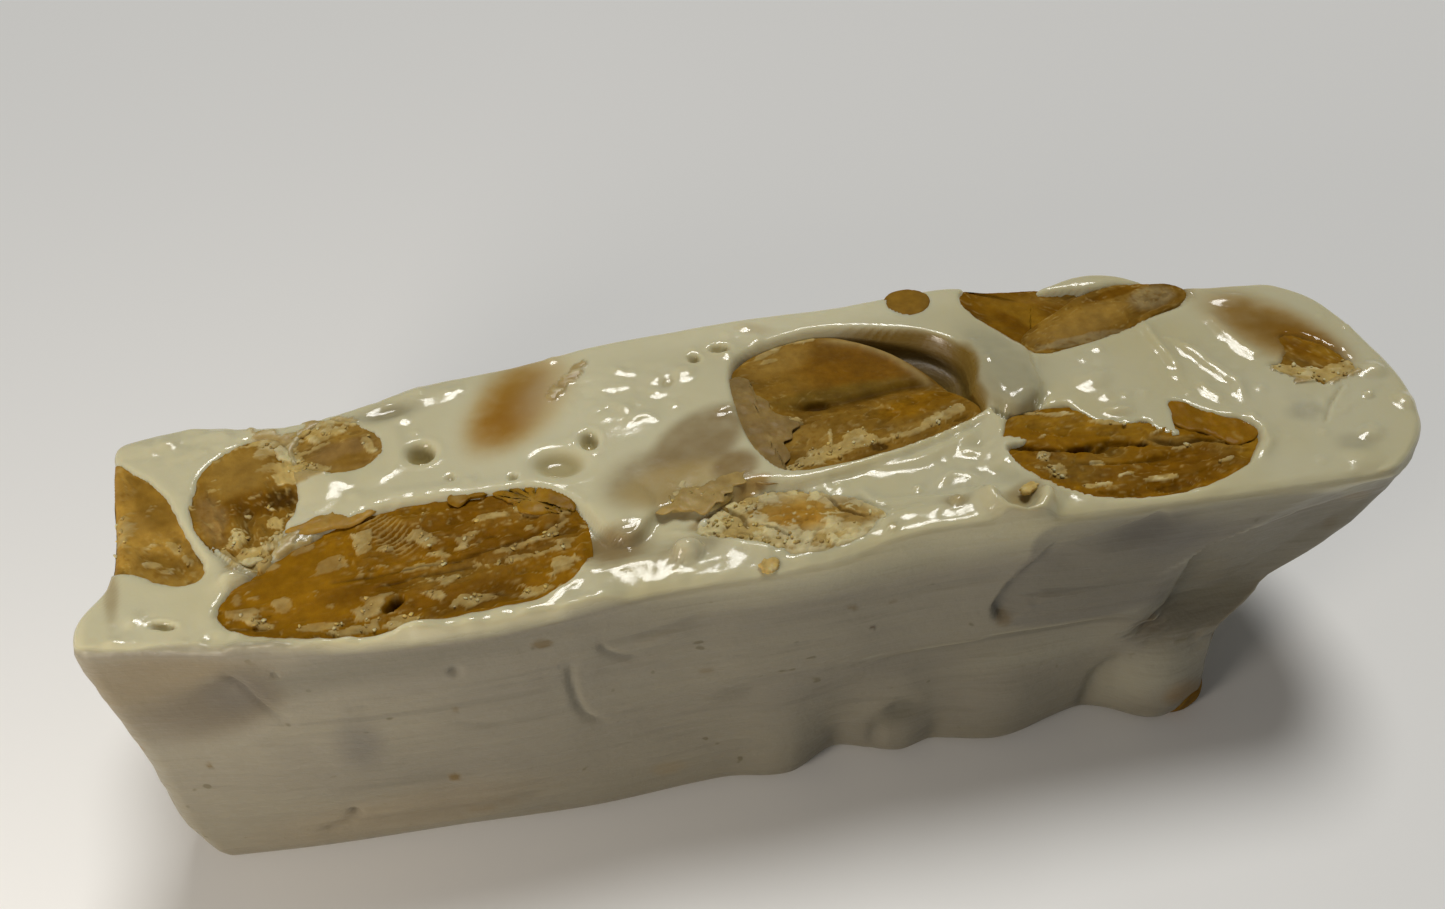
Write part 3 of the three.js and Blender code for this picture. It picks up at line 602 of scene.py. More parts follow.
# The front side, as x and z: folds, which are painted with shade, steps down right of a line, planes painted
# darker as shade where the side is set back, dents and marks.
FRONT = {
    "grooves": [
        ([(-15.4, 19), (-15.45, 16.5), (-15.2, 14), (-14.7, 12.2), (-13.4, 10.6)], 0.32, 0.28),
        ([(-13, 20.8), (-12.6, 19.8), (-11.6, 18.9), (-10.4, 18.5)], 0.3, 0.22),
        ([(-12.8, 20.7), (-9, 21.4), (-5.4, 22.4)], 0.35, 0.14),
        ([(-38.6, 24), (-37.6, 22), (-37, 20), (-36, 17.6)], 0.45, 0.25),
        ([(-33.3, 4.3), (-34.4, 3), (-36.4, 2.2)], 0.45, 0.3),
        ([(-33, 2.5), (-28, 2.1), (-22, 2.2), (-18.6, 2.5)], 0.45, 0.2),
        ([(-31.5, 17.9), (-30, 17.8)], 0.3, 0.12), ([(-24.6, 14.2), (-20.6, 12.6)], 0.3, 0.1),
        ([(0.5, 20.3), (4, 20.4), (7, 21), (12, 21.4), (18, 21.5)], 0.35, 0.1),
        ([(5.7, -2), (5.8, 1.5), (5.6, 4.6)], 0.9, 0.2), ([(14.4, -2), (14.3, 1), (14.6, 3.4)], 0.8, 0.2),
        ([(27.4, -2), (28, 2.6), (28.4, 5.6), (29.6, 7.4)], 0.9, 0.45), ([(24, 18), (28, 18.3)], 0.4, 0.08),
        ([(34, 14.4), (37, 16.2), (42, 18.6)], 0.8, 0.12),
        ([(31, 12.2), (32.4, 14), (33.1, 17), (33.7, 19.4), (35, 20.6), (38.4, 22), (42, 23.4),
          (46.5, 24.6)], 0.3, 0.25),
        ([(-22, 17.4), (-18, 17.9), (-12, 17.6), (-7, 18.2)], 0.14, 0.1),
        ([(-6, 16.2), (-1, 16.9), (5, 16.8)], 0.14, 0.1), ([(-4, 12.6), (3, 13.1), (9, 13)], 0.16, 0.1),
        ([(-29, 10.3), (-24, 9.7)], 0.14, 0.08), ([(-12, 8.2), (-4, 8.8), (2, 8.6)], 0.2, 0.1),
        ([(2, 10.4), (9, 10.9), (16, 10.7)], 0.2, 0.1), ([(31.4, 9), (33.6, 10.2), (35.6, 10)], 0.4, 0.35),
        ([(36.2, 7.4), (38.4, 8.8)], 0.35, 0.3),
    ],
    "steps": [
        ([(18.6, 15), (17.6, 16.4), (17.25, 17.6), (18, 20), (19.5, 22), (21.6, 25)], 0.75, 9),
        ([(6, 12.9), (12, 13.2), (18, 13.5), (24, 13.45), (30.5, 13.3)], 0.4, 3.5),
        ([(31, 12.2), (32.2, 14), (32.8, 17), (33.3, 19.5), (34.5, 20.8), (38, 22.3), (42, 23.8),
          (46.5, 25)], 0.85, 5),
        ([(-38.6, 24.2), (-37.6, 22), (-37, 20), (-36, 17.4)], 0.35, 5),
        ([(21, 24), (25, 24.6), (28, 25.6), (29.4, 26.6)], 0.3, 4),
    ],
    # Painted shade over the facets that are set back.
    "planes": [
        ([(20.9, 26.5), (19.2, 22.9), (17.8, 19.9), (17.2, 17.4), (18.2, 15.2), (21.2, 14.2), (27.6, 13.7),
          (31.4, 13.4), (32.4, 17.2), (33.4, 20), (37, 21.6), (40.5, 23.5), (44, 25), (34, 26.5)],
         "grey", 0.5),
        ([(31.6, 12.4), (32.6, 16.8), (33.8, 19.8), (37.4, 21.3), (41, 23.2), (47, 24.6), (50, 20), (40, 10),
          (36, 9)], "shade", 0.4),
    ],
    "dents": [
        (11.2, 5.6, 2.2, 1.7, 20, -0.55), (35, 8.1, 1.1, 0.5, 0, -0.4), (36.2, 8.8, 0.8, 0.5, 0, -0.4),
        (31.4, 11, 1.9, 1.3, -35, -1), (-23.5, 20.4, 0.8, 0.7, 0, -0.35), (-35.5, 23.3, 0.3, 0.45, 0, -0.3),
        (-33.5, 4, 0.7, 0.9, 20, -0.35), (9.2, 2.4, 1.2, 3, 0, -0.35), (-40, 21, 3.4, 4, 20, -0.3),
        (-8.5, 20.4, 3.6, 1.4, 20, 0.25), (20, 5, 5, 4, 0, 0.3), (-25, 1.2, 8, 1.6, 0, 0.3),
    ],
    # Besides real stains and specks, many are painted shade, in dents, creases, the notch, under the rim and
    # on the set-back facets, and some are painted light, along ridges and on the lobe at the foot.
    "specks": [
        (-25.4, 6.7, 0.45, 0.6, 0, 0.4, "stain_and_shade", 0.9), (-42.3, 13.7, 0.25, 0.45, 0, 0.4, "stain_and_shade", 0.8),
        (-17.1, 21.9, 0.75, 0.5, 0, 0.5, "stain_and_shade", 0.8), (7.8, 17.4, 0.25, 0.35, 20, 0.4, "dark", 0.85),
        (5.9, 20.4, 0.5, 0.25, -30, 0.6, "stain_and_shade", 0.6), (9, 20.4, 0.3, 0.2, 0, 0.6, "stain_and_shade", 0.5),
        (-31.5, 13.2, 1.5, 3, 0, 1.5, "grey", 0.6), (27.6, 23.4, 3.4, 2.6, 0, 1.4, "grey", 0.35),
        (-39.5, 21.5, 2.2, 2.6, 0, 1.4, "smoke_and_shade", 0.3), (18.5, 15.6, 0.6, 0.9, 30, 0.8, "stain_and_shade", 0.5),
        (20.7, 16.8, 0.35, 0.3, 0, 0.8, "grey", 0.6), (45.4, 24.2, 1.1, 0.6, 0, 0.9, "smoke_and_shade", 0.5),
        (44.3, 21.3, 0.6, 0.6, 0, 0.8, "stain_and_shade", 0.5), (-5.2, 15.3, 0.6, 0.4, 0, 0.8, "stain_and_shade", 0.35),
        (-23.7, 1.7, 2.4, 0.25, 8, 0.8, "stain_and_shade", 0.3), (-24.1, 15.7, 0.3, 0.25, 0, 0.6, "stain_and_shade", 0.5),
        (-8.5, 2.6, 1.4, 1, 0, 1, "smoke_and_shade", 0.35), (37.2, 0.6, 1.6, 1.8, 20, 1, "roast", 0.6),
        (31.6, 11.2, 1.5, 1, -35, 1, "stain_and_shade", 0.45), (-16.2, 18.9, 0.2, 0.35, 0, 0.5, "grey", 0.6),
        (-3.2, 11.6, 1.6, 0.9, 0, 1.2, "shade", 0.5), (29.4, 6, 0.6, 2.6, 10, 1.2, "shade", 0.6),
        (25.5, 12.9, 5, 0.5, 0, 1, "shade", 0.6), (-35.5, 23.3, 0.3, 0.4, 0, 0.6, "grey", 0.5),
        (35.6, 8.5, 1.2, 0.5, 20, 0.8, "stain_and_shade", 0.35), (-42.2, 24.7, 6.5, 4.2, 8, 1.2, "tawny_shade", 1),
        (-38.2, 21.6, 2.2, 2.8, -20, 1.2, "shade", 0.9), (-29.9, 22.4, 13, 1.8, 3, 1.2, "shade", 0.7),
        (-30, 3, 10, 2.6, 4, 1.4, "rosy", 0.45), (-41.3, 20.2, 4.6, 2.8, 8, 1.2, "dusk_shade", 0.7),
        (-38.2, 21.4, 2.2, 2.8, -20, 1.2, "dusk_shade", 0.9), (-38.2, 21.6, 2, 2.4, -20, 1.3, "dim_mauve_shade", 0.6),
        (-41.3, 20.2, 3.8, 2.4, 8, 1.3, "dim_mauve_shade", 0.3), (26, 20, 6, 4.4, 20, 1.4, "shade", 0.6),
        (42, 20, 8, 3, 28, 1.4, "shade", 0.55), (31.6, 22.4, 3, 1.5, 20, 1.3, "grey", 0.6),
        (23, 10.4, 6, 1.8, 4, 1.3, "pale", 0.5), (19, 13.75, 12, 0.22, 0.6, 0.6, "pale", 0.8),
        (20, 13.1, 11, 0.5, 0.6, 0.8, "shade", 0.6), (35.2, 20.9, 4.6, 0.3, 32, 0.8, "pale", 0.6),
        (31.2, 11.1, 1, 0.4, -20, 0.6, "olive", 0.9), (34.7, 8.3, 1.1, 0.3, 24, 0.6, "olive", 0.8),
        (10.4, 4.6, 2.4, 1.6, 20, 1.2, "shade", 0.8), (-2, 20.6, 12, 3, 3, 1.5, "shade", 0.2),
        (33, 4.4, 4.6, 3.6, 0, 1.3, "pale", 0.8), (31.6, 11.4, 1.8, 0.7, -25, 0.9, "grey", 0.6),
        (34.6, 14.4, 6, 1, 6, 1.2, "pale", 0.3), (28.8, 23.9, 2.8, 1.4, 14, 1.3, "dim_mauve_shade", 0.8),
    ],
}
# Thin flaps that hang over almonds: outline, height over the cut face at the left and at the right, what the
# back adds, thickness and tone.
SKINS = [
    ([(-0.6, 19.6), (1.2, 20.4), (2.3, 19.8), (2.2, 18.4), (3.2, 17.4), (3.3, 16.4), (3.9, 15.6),
      (4.9, 15.3), (5.2, 14.4), (4.4, 13.9), (4.2, 13), (3.4, 12.6), (3.6, 11.2), (2.9, 10.2), (3, 8.6),
      (1.4, 8.3), (0.2, 8.7), (-0.7, 10.5), (-1.2, 13), (-0.8, 15), (-1.1, 17)],
     -0.14, -0.8, 0, 0.2, "film"),
    ([(-34.4, 10.6), (-33, 11.2), (-31, 12.2), (-29, 12.4), (-27.8, 11.7), (-28.6, 10.9), (-29.6, 10.3),
      (-31, 10.3), (-32.4, 10)], 0.06, -0.2, 0, 0.3, "veil"),
    ([(-22.6, 11.5), (-21.8, 12.3), (-20, 12), (-19.6, 11.3), (-20.8, 11.4), (-21.8, 10.6)],
     -0.1, -0.15, 0, 0.3, "caramel"),
    ([(-19.2, 11.6), (-17, 12), (-15, 11.5), (-13.7, 10.4), (-13.2, 9), (-14, 8.2), (-15.2, 8.8),
      (-16.4, 10.4), (-17.6, 9.9), (-18.4, 10.6)], -0.12, -0.2, 0, 0.35, "caramel"),
    ([(33.6, 9), (34, 10.5), (35, 10.9), (36.6, 9.6), (38.2, 8.4), (39.8, 7.6), (40.1, 6.5), (39, 5.7),
      (37.6, 5.3), (36.6, 6.2), (35.6, 7.2), (34.4, 7.6)], -0.2, -0.4, 0, 0.4, "honey"),
    ([(-9.6, 7.6), (-10.2, 9.4), (-9.6, 11.4), (-7.8, 12.4), (-5.4, 12), (-3.2, 12.2), (-1, 12), (0.2, 10.8),
      (-0.4, 9.6), (-0.3, 8.9), (-1.2, 8.7), (-1.6, 8.1), (-2.2, 8), (-2.4, 7.2), (-3, 7.3), (-3.4, 6.7),
      (-4.2, 6.3), (-4.7, 6.9), (-5.5, 6.9), (-6.1, 7.2), (-7, 6.9), (-7.8, 7.4), (-8.8, 7.1)],
     -0.2, 0.08, -0.42, 0.18, "flake"),
]
# Pale scraps that stick where almonds meet nougat: x, y, length, width and turn.
SCRAPS = [
    (-34.2, 20.2, 2.2, 1.8, 0), (-34, 18.2, 1.8, 1.6, 0), (-34.2, 16.8, 3.8, 2, -20),
    (-32.6, 16.5, 2.8, 1.3, -8), (-35.6, 20.3, 3.8, 1.8, -38), (-34.3, 19.2, 2, 2.6, 10),
    (-32.2, 21.1, 3.2, 1.7, 16), (-30.4, 21.6, 2.4, 0.9, -20), (-36.4, 8.6, 3, 1, 12),
    (-35.1, 9.7, 2.4, 0.8, 62), (-38.2, 9, 2.2, 0.6, -52), (-34.9, 11.4, 1, 0.7, 30),
    (-34.4, 9.3, 2.6, 1, 58), (-33.4, 9.2, 2.2, 0.7, 28), (-36.2, 7.6, 2.8, 0.7, -6),
    (-16.4, 9.2, 2.2, 1.4, -15), (-12.7, 22.4, 3.4, 1.1, 52), (-11.6, 23.6, 2.4, 0.9, 40),
    (4.4, 14.3, 1.7, 1.2, 20), (7.6, 24, 3.4, 0.7, 12), (4.4, 22.9, 2.4, 0.6, 34), (45.4, 12.4, 3, 0.9, -34),
    (47.6, 11.2, 3.4, 1, -4), (50, 11.2, 3, 0.9, 20),
]
# Thick loose chunks: x, y, length, width, turn, height over the plain face, and tone.
CHUNKS = [
    (-0.4, 0.7, 1.7, 1.2, 30, 0.1, "ochre"), (20.3, 4.1, 1.7, 0.9, 30, 0.5, "ochre"),
    (-34.6, 18.7, 2.2, 1, -60, 0, "chalk"), (-33.6, 16.9, 1.8, 0.9, -20, 0, "crumb"),
    (-36.6, 8.3, 1.8, 0.7, 8, 0, "chalk"), (-33.4, 20.6, 1.6, 0.8, 16, 0, "crumb"),
]
CHUNK_THICK = 0.4
# Heights of the flaps' and the chunks' unevenness, and how glossy they are.
SKIN_ROUGH, SCRAP_ROUGH = 0.06, 0.14
SKIN_GLOSS, SCRAP_GLOSS = 0.8, 0.1
# Loose crumbs: their tones, and how far they stand off the almonds.
CRUMB_TONES = ("crumb", "chalk", "ochre", "flake")
CRUMB_LIFT = 0.06

# Over these heights of the plain form the cut face's relief, paint and gloss set in, and the sides' fade.
CUT_FACE_FROM = 23.9
RELIEF_SETS_IN = (24, 25.4)
PAINT_SETS_IN = (24.2, 25.8)
GLOSS_SETS_IN = (25.1, 25.95)
SIDE_FADES = (24.6, 25.9)
# A side's relief fades over these distances from it, and is worked out within the band.
SIDE_EDGE = (0.1, 1.3)
SIDE_BAND = 1.4
# The deepest place of the cut face, how far the grid's rows crowd towards it, and where a face starts on the
# cube from -1 to 1.
DEEPEST = 4
CROWDING = 0.4
ON_FACE = 0.999

# ---- Shaping helpers ----
# Points are rows of coordinates in millimetres.

TINY = 1e-9  # a length that stands in for 0 where something is divided by it
BYTE = 255  # the largest number that 8 random bits hold
NOISE_GAIN = 1.3  # brings the noise to between about -1 and 1
ROWS_AT_ONCE = 20000  # how many points are held against an outline at once


def smooth(value, low, high):
    """0 below low, 1 above high and an even S between."""
    share = np.clip((value - low) / (high - low), 0, 1)
    return share * share * (3 - 2 * share)


def lerp(a, b, share):
    """The value a share of the way from a to b."""
    return a + (b - a) * share


def within(value, low, high, run):
    """1 from low to high, falling to 0 over the run outside."""
    return smooth(value, low - run, low) * (1 - smooth(value, high, high + run))


def bell(away, width):
    """1 where away is 0, falling smoothly to almost 0 at twice the width."""
    return np.exp(-((away / width) ** 2))


def through(knots, at):
    """The values of a smooth curve through knots at the given places. Beyond the knots it stays level."""
    places, values = np.array(knots, float).T
    slopes = np.gradient(values, places)
    slopes[1:-1] = (values[2:] - values[:-2]) / (places[2:] - places[:-2])
    at = np.clip(at, places[0], places[-1])
    i = np.clip(np.searchsorted(places, at, side="right") - 1, 0, len(places) - 2)
    width = places[i + 1] - places[i]
    share = (at - places[i]) / width
    entering, leaving = slopes[i] * width, slopes[i + 1] * width
    rise = values[i + 1] - values[i]
    bend = entering + leaving - 2 * rise
    return values[i] + share * (entering + share * (3 * rise - 2 * entering - leaving + share * bend))


def scrambled(cell, seed):
    """A number of 32 random bits for each row of whole numbers."""
    mixers = np.array([73856093, 19349663, 83492791])[:cell.shape[1]]
    mixed = (cell * mixers).sum(axis=1) + seed * 40503
    mixed = ((mixed ^ (mixed >> 15)) * 739982445) & 0xFFFFFFFF
    mixed = ((mixed ^ (mixed >> 12)) * 695872825) & 0xFFFFFFFF
    return mixed ^ (mixed >> 15)


def noise(points, size, seed=0):
    """Smooth noise between about -1 and 1, in lumps of the given size, or of one size for each axis."""
    points = np.atleast_2d(points) / np.array(size, float)
    cell = np.floor(points).astype(np.int64)
    part = points - cell
    fade = part**3 * (part * (part * 6 - 15) + 10)
    count = points.shape[1]
    total = np.zeros(len(points))
    for corner in itertools.product((0, 1), repeat=count):
        mixed = scrambled(cell + corner, seed)
        weight = np.ones(len(points))
        pull = np.zeros(len(points))
        for axis in range(count):
            weight *= fade[:, axis] if corner[axis] else 1 - fade[:, axis]
            away = part[:, axis] - corner[axis]
            pull += ((mixed >> (9 * axis)) & BYTE) / (BYTE / 2) * away - away
        total += weight * pull
    return total * NOISE_GAIN


def fractal(points, size, octaves, seed=0):
    """Layers of noise, each half the size and half the height of the last."""
    layers = [noise(points, np.array(size) * 0.5**k, seed + k) * 0.5**k for k in range(octaves)]
    return sum(layers)


def cells(points, size, seed):
    """Irregular cells of a size: how far points are from a border, and a level from 0 to 1 for each cell."""
    scaled = points / np.array(size, float)
    home = np.floor(scaled).astype(np.int64)
    nearest_two = np.full((2, len(points)), np.inf)
    level = np.zeros(len(points))
    for step in itertools.product((-1, 0, 1), repeat=2):
        mixed = scrambled(home + step, seed)
        jitter = np.column_stack([mixed & BYTE, (mixed >> 8) & BYTE]) / BYTE
        distance = np.hypot(*(scaled - home - step - jitter).T)
        closer = distance < nearest_two[0]
        level = np.where(closer, ((mixed >> 16) & BYTE) / BYTE, level)
        nearest_two[1] = np.where(closer, nearest_two[0], np.minimum(nearest_two[1], distance))
        nearest_two[0] = np.minimum(nearest_two[0], distance)
    return nearest_two[1] - nearest_two[0], level


def closed_curve(knots, steps=8):
    """A smooth closed outline through knots."""
    knots = np.array(knots, float)
    share = np.arange(steps)[:, None] / steps
    runs = []
    for i in range(len(knots)):
        a, b, c, d = (knots[(i + k) % len(knots)] for k in (-1, 0, 1, 2))
        bend = 2 * a - 5 * b + 4 * c - d + share * (3 * (b - c) + d - a)
        runs.append(b + 0.5 * share * (c - a + share * bend))
    return np.concatenate(runs)


def nearest(points, line, closed):
    """Distance to a line of straight bits, the side (+1 left of it) and the share of the way along."""
    starts = line if closed else line[:-1]
    ends = np.roll(line, -1, axis=0) if closed else line[1:]
    along = ends - starts
    gap = points[:, None] - starts[None]
    share = np.clip((gap * along).sum(-1) / np.maximum((along**2).sum(-1), TINY), 0, 1)
    away = gap - share[..., None] * along
    distance = np.sqrt((away**2).sum(-1))
    best = distance.argmin(axis=1)
    rows = np.arange(len(points))
    side = np.sign(along[best, 0] * gap[rows, best, 1] - along[best, 1] * gap[rows, best, 0])
    return distance[rows, best], side, (best + share[rows, best]) / len(starts)


def rows_in_box(points, line, margin):
    """The rows of the points that lie in the box round a line, widened by a margin."""
    low, high = line.min(axis=0) - margin, line.max(axis=0) + margin
    return np.flatnonzero(((points > low) & (points < high)).all(axis=1))


def inside(points, outline, margin=4.0):
    """How far points lie inside a closed outline. Outside it is negative, down to about minus the margin."""
    found = np.full(len(points), -margin)
    near = rows_in_box(points, outline, margin)
    ends = np.roll(outline, -1, axis=0)
    run, rise = (ends - outline).T
    rise[rise == 0] = TINY
    for chunk in np.array_split(near, max(1, len(near) // ROWS_AT_ONCE)):
        if not len(chunk):
            continue
        place = points[chunk]
        distance = nearest(place, outline, True)[0]
        crosses = (outline[None, :, 1] > place[:, None, 1]) != (ends[None, :, 1] > place[:, None, 1])
        at = outline[None, :, 0] + (place[:, None, 1] - outline[None, :, 1]) / rise * run[None]
        odd = (crosses & (place[:, None, 0] < at)).sum(axis=1) % 2 == 1
        found[chunk] = np.where(odd, distance, -np.minimum(distance, margin))
    return found


def round_spot(points, x, y, radius_x, radius_y, turn=0.0):
    """Distance from a spot's middle, as a share of its radius."""
    angle = math.radians(turn)
    offset = points - np.array([x, y])
    along = offset[:, 0] * math.cos(angle) + offset[:, 1] * math.sin(angle)
    across = offset[:, 1] * math.cos(angle) - offset[:, 0] * math.sin(angle)
    return np.hypot(along / radius_x, across / radius_y)


def turned(points, turn):
    """The same points in axes turned by an angle."""
    angle = math.radians(turn)
    return np.column_stack([
        points[:, 0] * math.cos(angle) + points[:, 1] * math.sin(angle),
        points[:, 1] * math.cos(angle) - points[:, 0] * math.sin(angle),
    ])


def seen_on_top(x, y, z):
    """Where the eye sees points on the plane z = HEIGHT."""
    share = (EYE[2] - HEIGHT) / (EYE[2] - z)
    return np.column_stack([EYE[0] + (x - EYE[0]) * share, EYE[1] + (y - EYE[1]) * share])


def under_sight(spots, z):
    """The places at heights z that the eye sees at these spots of the plane z = HEIGHT."""
    share = (EYE[2] - z) / (EYE[2] - HEIGHT)
    return EYE[0] + (spots[:, 0] - EYE[0]) * share, EYE[1] + (spots[:, 1] - EYE[1]) * share


def seen_in_front(x, y, z):
    """Where the eye sees points on the plane y = 0, as x and z."""
    share = EYE[1] / (EYE[1] - y)
    return np.column_stack([EYE[0] + (x - EYE[0]) * share, EYE[2] + (z - EYE[2]) * share])


# ---- Surfaces of the outer form ----


def cut_face(x, across):
    """Height of the cut face. across is the share of the way from the front side to the back side."""
    return lerp(through(FRONT_RIM_Z, x), HEIGHT, smooth(across, 0, CROWN_SHARE))


def front_side(x, z):
    """Distance of the front side from its plane, positive into the bar."""
    to_rim = smooth(z / HEIGHT, 0, 1 - RIM_SHARE)
    plain = lerp(through(FRONT_FOOT_Y, x), through(FRONT_RIM_Y, x), to_rim)
    angle = math.radians(FACET["direction"])
    beyond = (x - FACET["x"]) * math.sin(angle) - (z - FACET["z"]) * math.cos(angle)
    kept = smooth(z, *FACET["foot"]) * (1 - smooth(z, *FACET["rim"])) * smooth(x, *FACET["left"])
    facet = np.clip(beyond * FACET["slope"], 0, FACET["deepest"]) * kept
    reach = np.hypot((x - LUMP["x"]) / LUMP["radius_x"], (z - LUMP["z"]) / LUMP["radius_z"])
    return plain + facet - LUMP["stands"] * (1 - smooth(reach, 0.2, 1))


def back_side(x, z):
    """Distance of the back side from the front side's plane."""
    return lerp(through(BACK_FOOT_Y, x), through(BACK_RIM_Y, x), z / HEIGHT)


def left_end(y, z):
    """Where the left end face stands, as x."""
    return LEFT_END + through(LEFT_END_IN_PLAN, y) + through(LEFT_END_UNDERCUT, z)


def right_end(y, z):
    """Where the right end face stands, as x. It flares outwards from the foot."""
    return lerp(RIGHT_END_OF_FOOT, RIGHT_END + through(RIGHT_END_IN_PLAN, y), through(RIGHT_END_FLARE, z))


def crown(x, y):
    """Height of the cut face at x and y, before anything is let in."""
    front, back = front_side(x, np.full(len(x), HEIGHT)), back_side(x, HEIGHT)
    return cut_face(x, np.clip((y - front) / (back - front), 0, 1))


def onto_bar(cube):
    """Points of a cube from -1 to 1 pulled onto the rounded bar, with their shares of its three sizes."""
    point = cube * HALF_BAR
    radius = lerp(FOOT_ROUND, RIM_ROUND, (cube[:, 2:] + 1) / 2)
    core = np.clip(point, radius - HALF_BAR, HALF_BAR - radius)
    out = point - core
    length = np.maximum(np.linalg.norm(out, axis=1, keepdims=True), TINY)
    share = (core + out * radius / length) / HALF_BAR * 0.5 + 0.5
    z = share[:, 2] * HEIGHT
    rough_x = lerp(LEFT_END, RIGHT_END, share[:, 0])
    rough_y = lerp(front_side(rough_x, z), back_side(rough_x, z), share[:, 1])
    x = lerp(left_end(rough_y, z), right_end(rough_y, z), share[:, 0])
    y = lerp(front_side(x, z), back_side(x, z), share[:, 1])
    return np.column_stack([x, y, share[:, 2] * cut_face(x, share[:, 1])]), share


# ---- Paint ----
# A colour with an opacity for each vertex.

FAINTEST = 1e-6  # the least opacity that a colour is divided by


def paint(tint, mask, tone):
    """Lays a named tone over the tint where the mask is above 0."""
    mask = np.clip(mask, 0, 1)[:, None]
    kept = tint[:, 3:] * (1 - mask)
    total = np.maximum(mask + kept, FAINTEST)
    tint[:, :3] = (np.array(TONES[tone]) * mask + tint[:, :3] * kept) / total
    tint[:, 3:] = mask + kept


def spot_mask(points, x, y, radius_x, radius_y, turn, soft):
    """1 inside a spot, falling to 0 over its soft rim, a share of its radius."""
    return 1 - smooth(round_spot(points, x, y, radius_x, radius_y, turn), 1 - soft / 2, 1 + soft / 2)


# ---- Meshes ----

WHOLE_EDGE = 1.9  # an edge longer than this still runs along the whole cube


def gridded_cube(counts):
    """A cube from -1 to 1 with its faces cut into a grid, as a bmesh."""
    bm = bmesh.new()
    bmesh.ops.create_cube(bm, size=2)
    for axis, count in enumerate(counts):
        edges = [e for e in bm.edges if abs(e.verts[0].co[axis] - e.verts[1].co[axis]) > WHOLE_EDGE]
        bmesh.ops.subdivide_edges(bm, edges=edges, cuts=count - 1, use_grid_fill=True)
    return bm


def places(bm):
    """The places of a bmesh's points, as rows."""
    return np.array([vertex.co for vertex in bm.verts], float)


def put(bm, points):
    """Moves a bmesh's points to new places."""
    for vertex, point in zip(bm.verts, points):
        vertex.co = point


def in_metres(points):
    """From millimetres in the datum to metres round the middle of the base."""
    return (points - np.array([*MIDDLE_OF_BASE, 0])) * METRES


def piece(name, bm, material, tint, gloss):
    """Makes an object of a bmesh in metres, with its paint and its gloss, and has it ride on the bar."""
    mesh = bpy.data.meshes.new(name)
    bm.normal_update()
    bm.to_mesh(mesh)
    bm.free()
    mesh.shade_smooth()
    colours = mesh.color_attributes.new("tint", "FLOAT_COLOR", "POINT")
    colours.data.foreach_set("color", tint.astype(np.float32).ravel())
    mesh.attributes.new("gloss", "FLOAT", "POINT").data.foreach_set("value", gloss.astype(np.float32))
    mesh.materials.append(material)
    made = bpy.data.objects.new(name, mesh)
    bpy.context.scene.collection.objects.link(made)
    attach(made, "root")
    return made


# ---- Nougat ----


def pocket_depth(points, spec):
    """How far the nougat sinks for an almond, and how far inside its outline the points lie."""
    ragged = spec.get("ragged", USUAL_RAGGED) * (noise(points, 1.1, 3) + 0.6 * noise(points, 0.5, 4))
    d = inside(points, closed_curve(spec.get("opening", spec["outline"]))) + ragged
    open_to_sight = np.ones(len(points))
    for cover in spec.get("covers", []):
        open_to_sight *= 1 - smooth(inside(points, closed_curve(cover, 6)) + 0.5 * ragged, -0.15, 0.2)
    wall = spec["depth"] * smooth(d, -0.2, 0.34)
    bowl = POCKET_BOWL * smooth(d, 0.3, 2.2)
    lip = spec.get("lip", 0) * bell(d + 0.75, 0.5)
    return (wall + bowl) * open_to_sight - lip, d * open_to_sight


def raised_line(points, line, width):
    """1 along a line, falling away beside it, and towards its ends."""
    line = np.array(line, float)
    found = np.zeros(len(points))
    near = rows_in_box(points, line, 3 * width)
    if len(near):
        distance, _, along = nearest(points[near], line, False)
        ends = smooth(along, -0.02, 0.12) * (1 - smooth(along, 0.88, 1.02))
        found[near] = bell(distance, width) * (0.35 + 0.65 * ends)
    return found


def step_beside(points, line, fade):
    """1 just right of a line as it runs, falling to 0 over the fade and towards the line's ends."""
    line = np.array(line, float)
    found = np.zeros(len(points))
    near = rows_in_box(points, line, fade)
    if len(near):
        distance, side, along = nearest(points[near], line, False)
        right = -side * distance
        ends = smooth(along, 0, 0.2) * (1 - smooth(along, 0.85, 1))
        found[near] = smooth(right, -0.12, 0.22) * (1 - smooth(right, 0.3, fade)) * ends
    return found


def scraps_at(spots, scraps, ground, seed):
    """1 where pale ragged scraps lie, and the speckle inside them. A higher ground gives more of them."""
    pull = np.full(len(spots), ground)
    for x, y, long, wide, turn in scraps:
        pull = np.maximum(pull, 1.12 - 0.9 * round_spot(spots, x, y, long / 2, wide / 2, turn))
    field = 0.8 * fractal(spots, (1.5, 0.9), 4, seed)
    _, level = cells(spots, (1.1, 0.7), seed + 4)
    speckle = 0.6 * fractal(spots, (0.8, 0.5), 3, seed + 2) + 1.1 * (level - 0.5)
    return smooth(field + pull, 0.16, 0.24), speckle


def paint_scraps(tint, scrap, speckle, chalky=1.0):
    """Paint the scraps, of which a share is pale and chalky."""
    paint(tint, scrap * np.clip(0.8 + 0.35 * speckle, 0, 0.92), "flake")
    paint(tint, chalky * scrap * 0.95, "crumb")
    paint(tint, chalky * scrap * smooth(speckle, 0.15, 0.6) * 0.6, "chalk")
    paint(tint, scrap * smooth(-speckle, 0.3, 0.8) * 0.45, "tan")


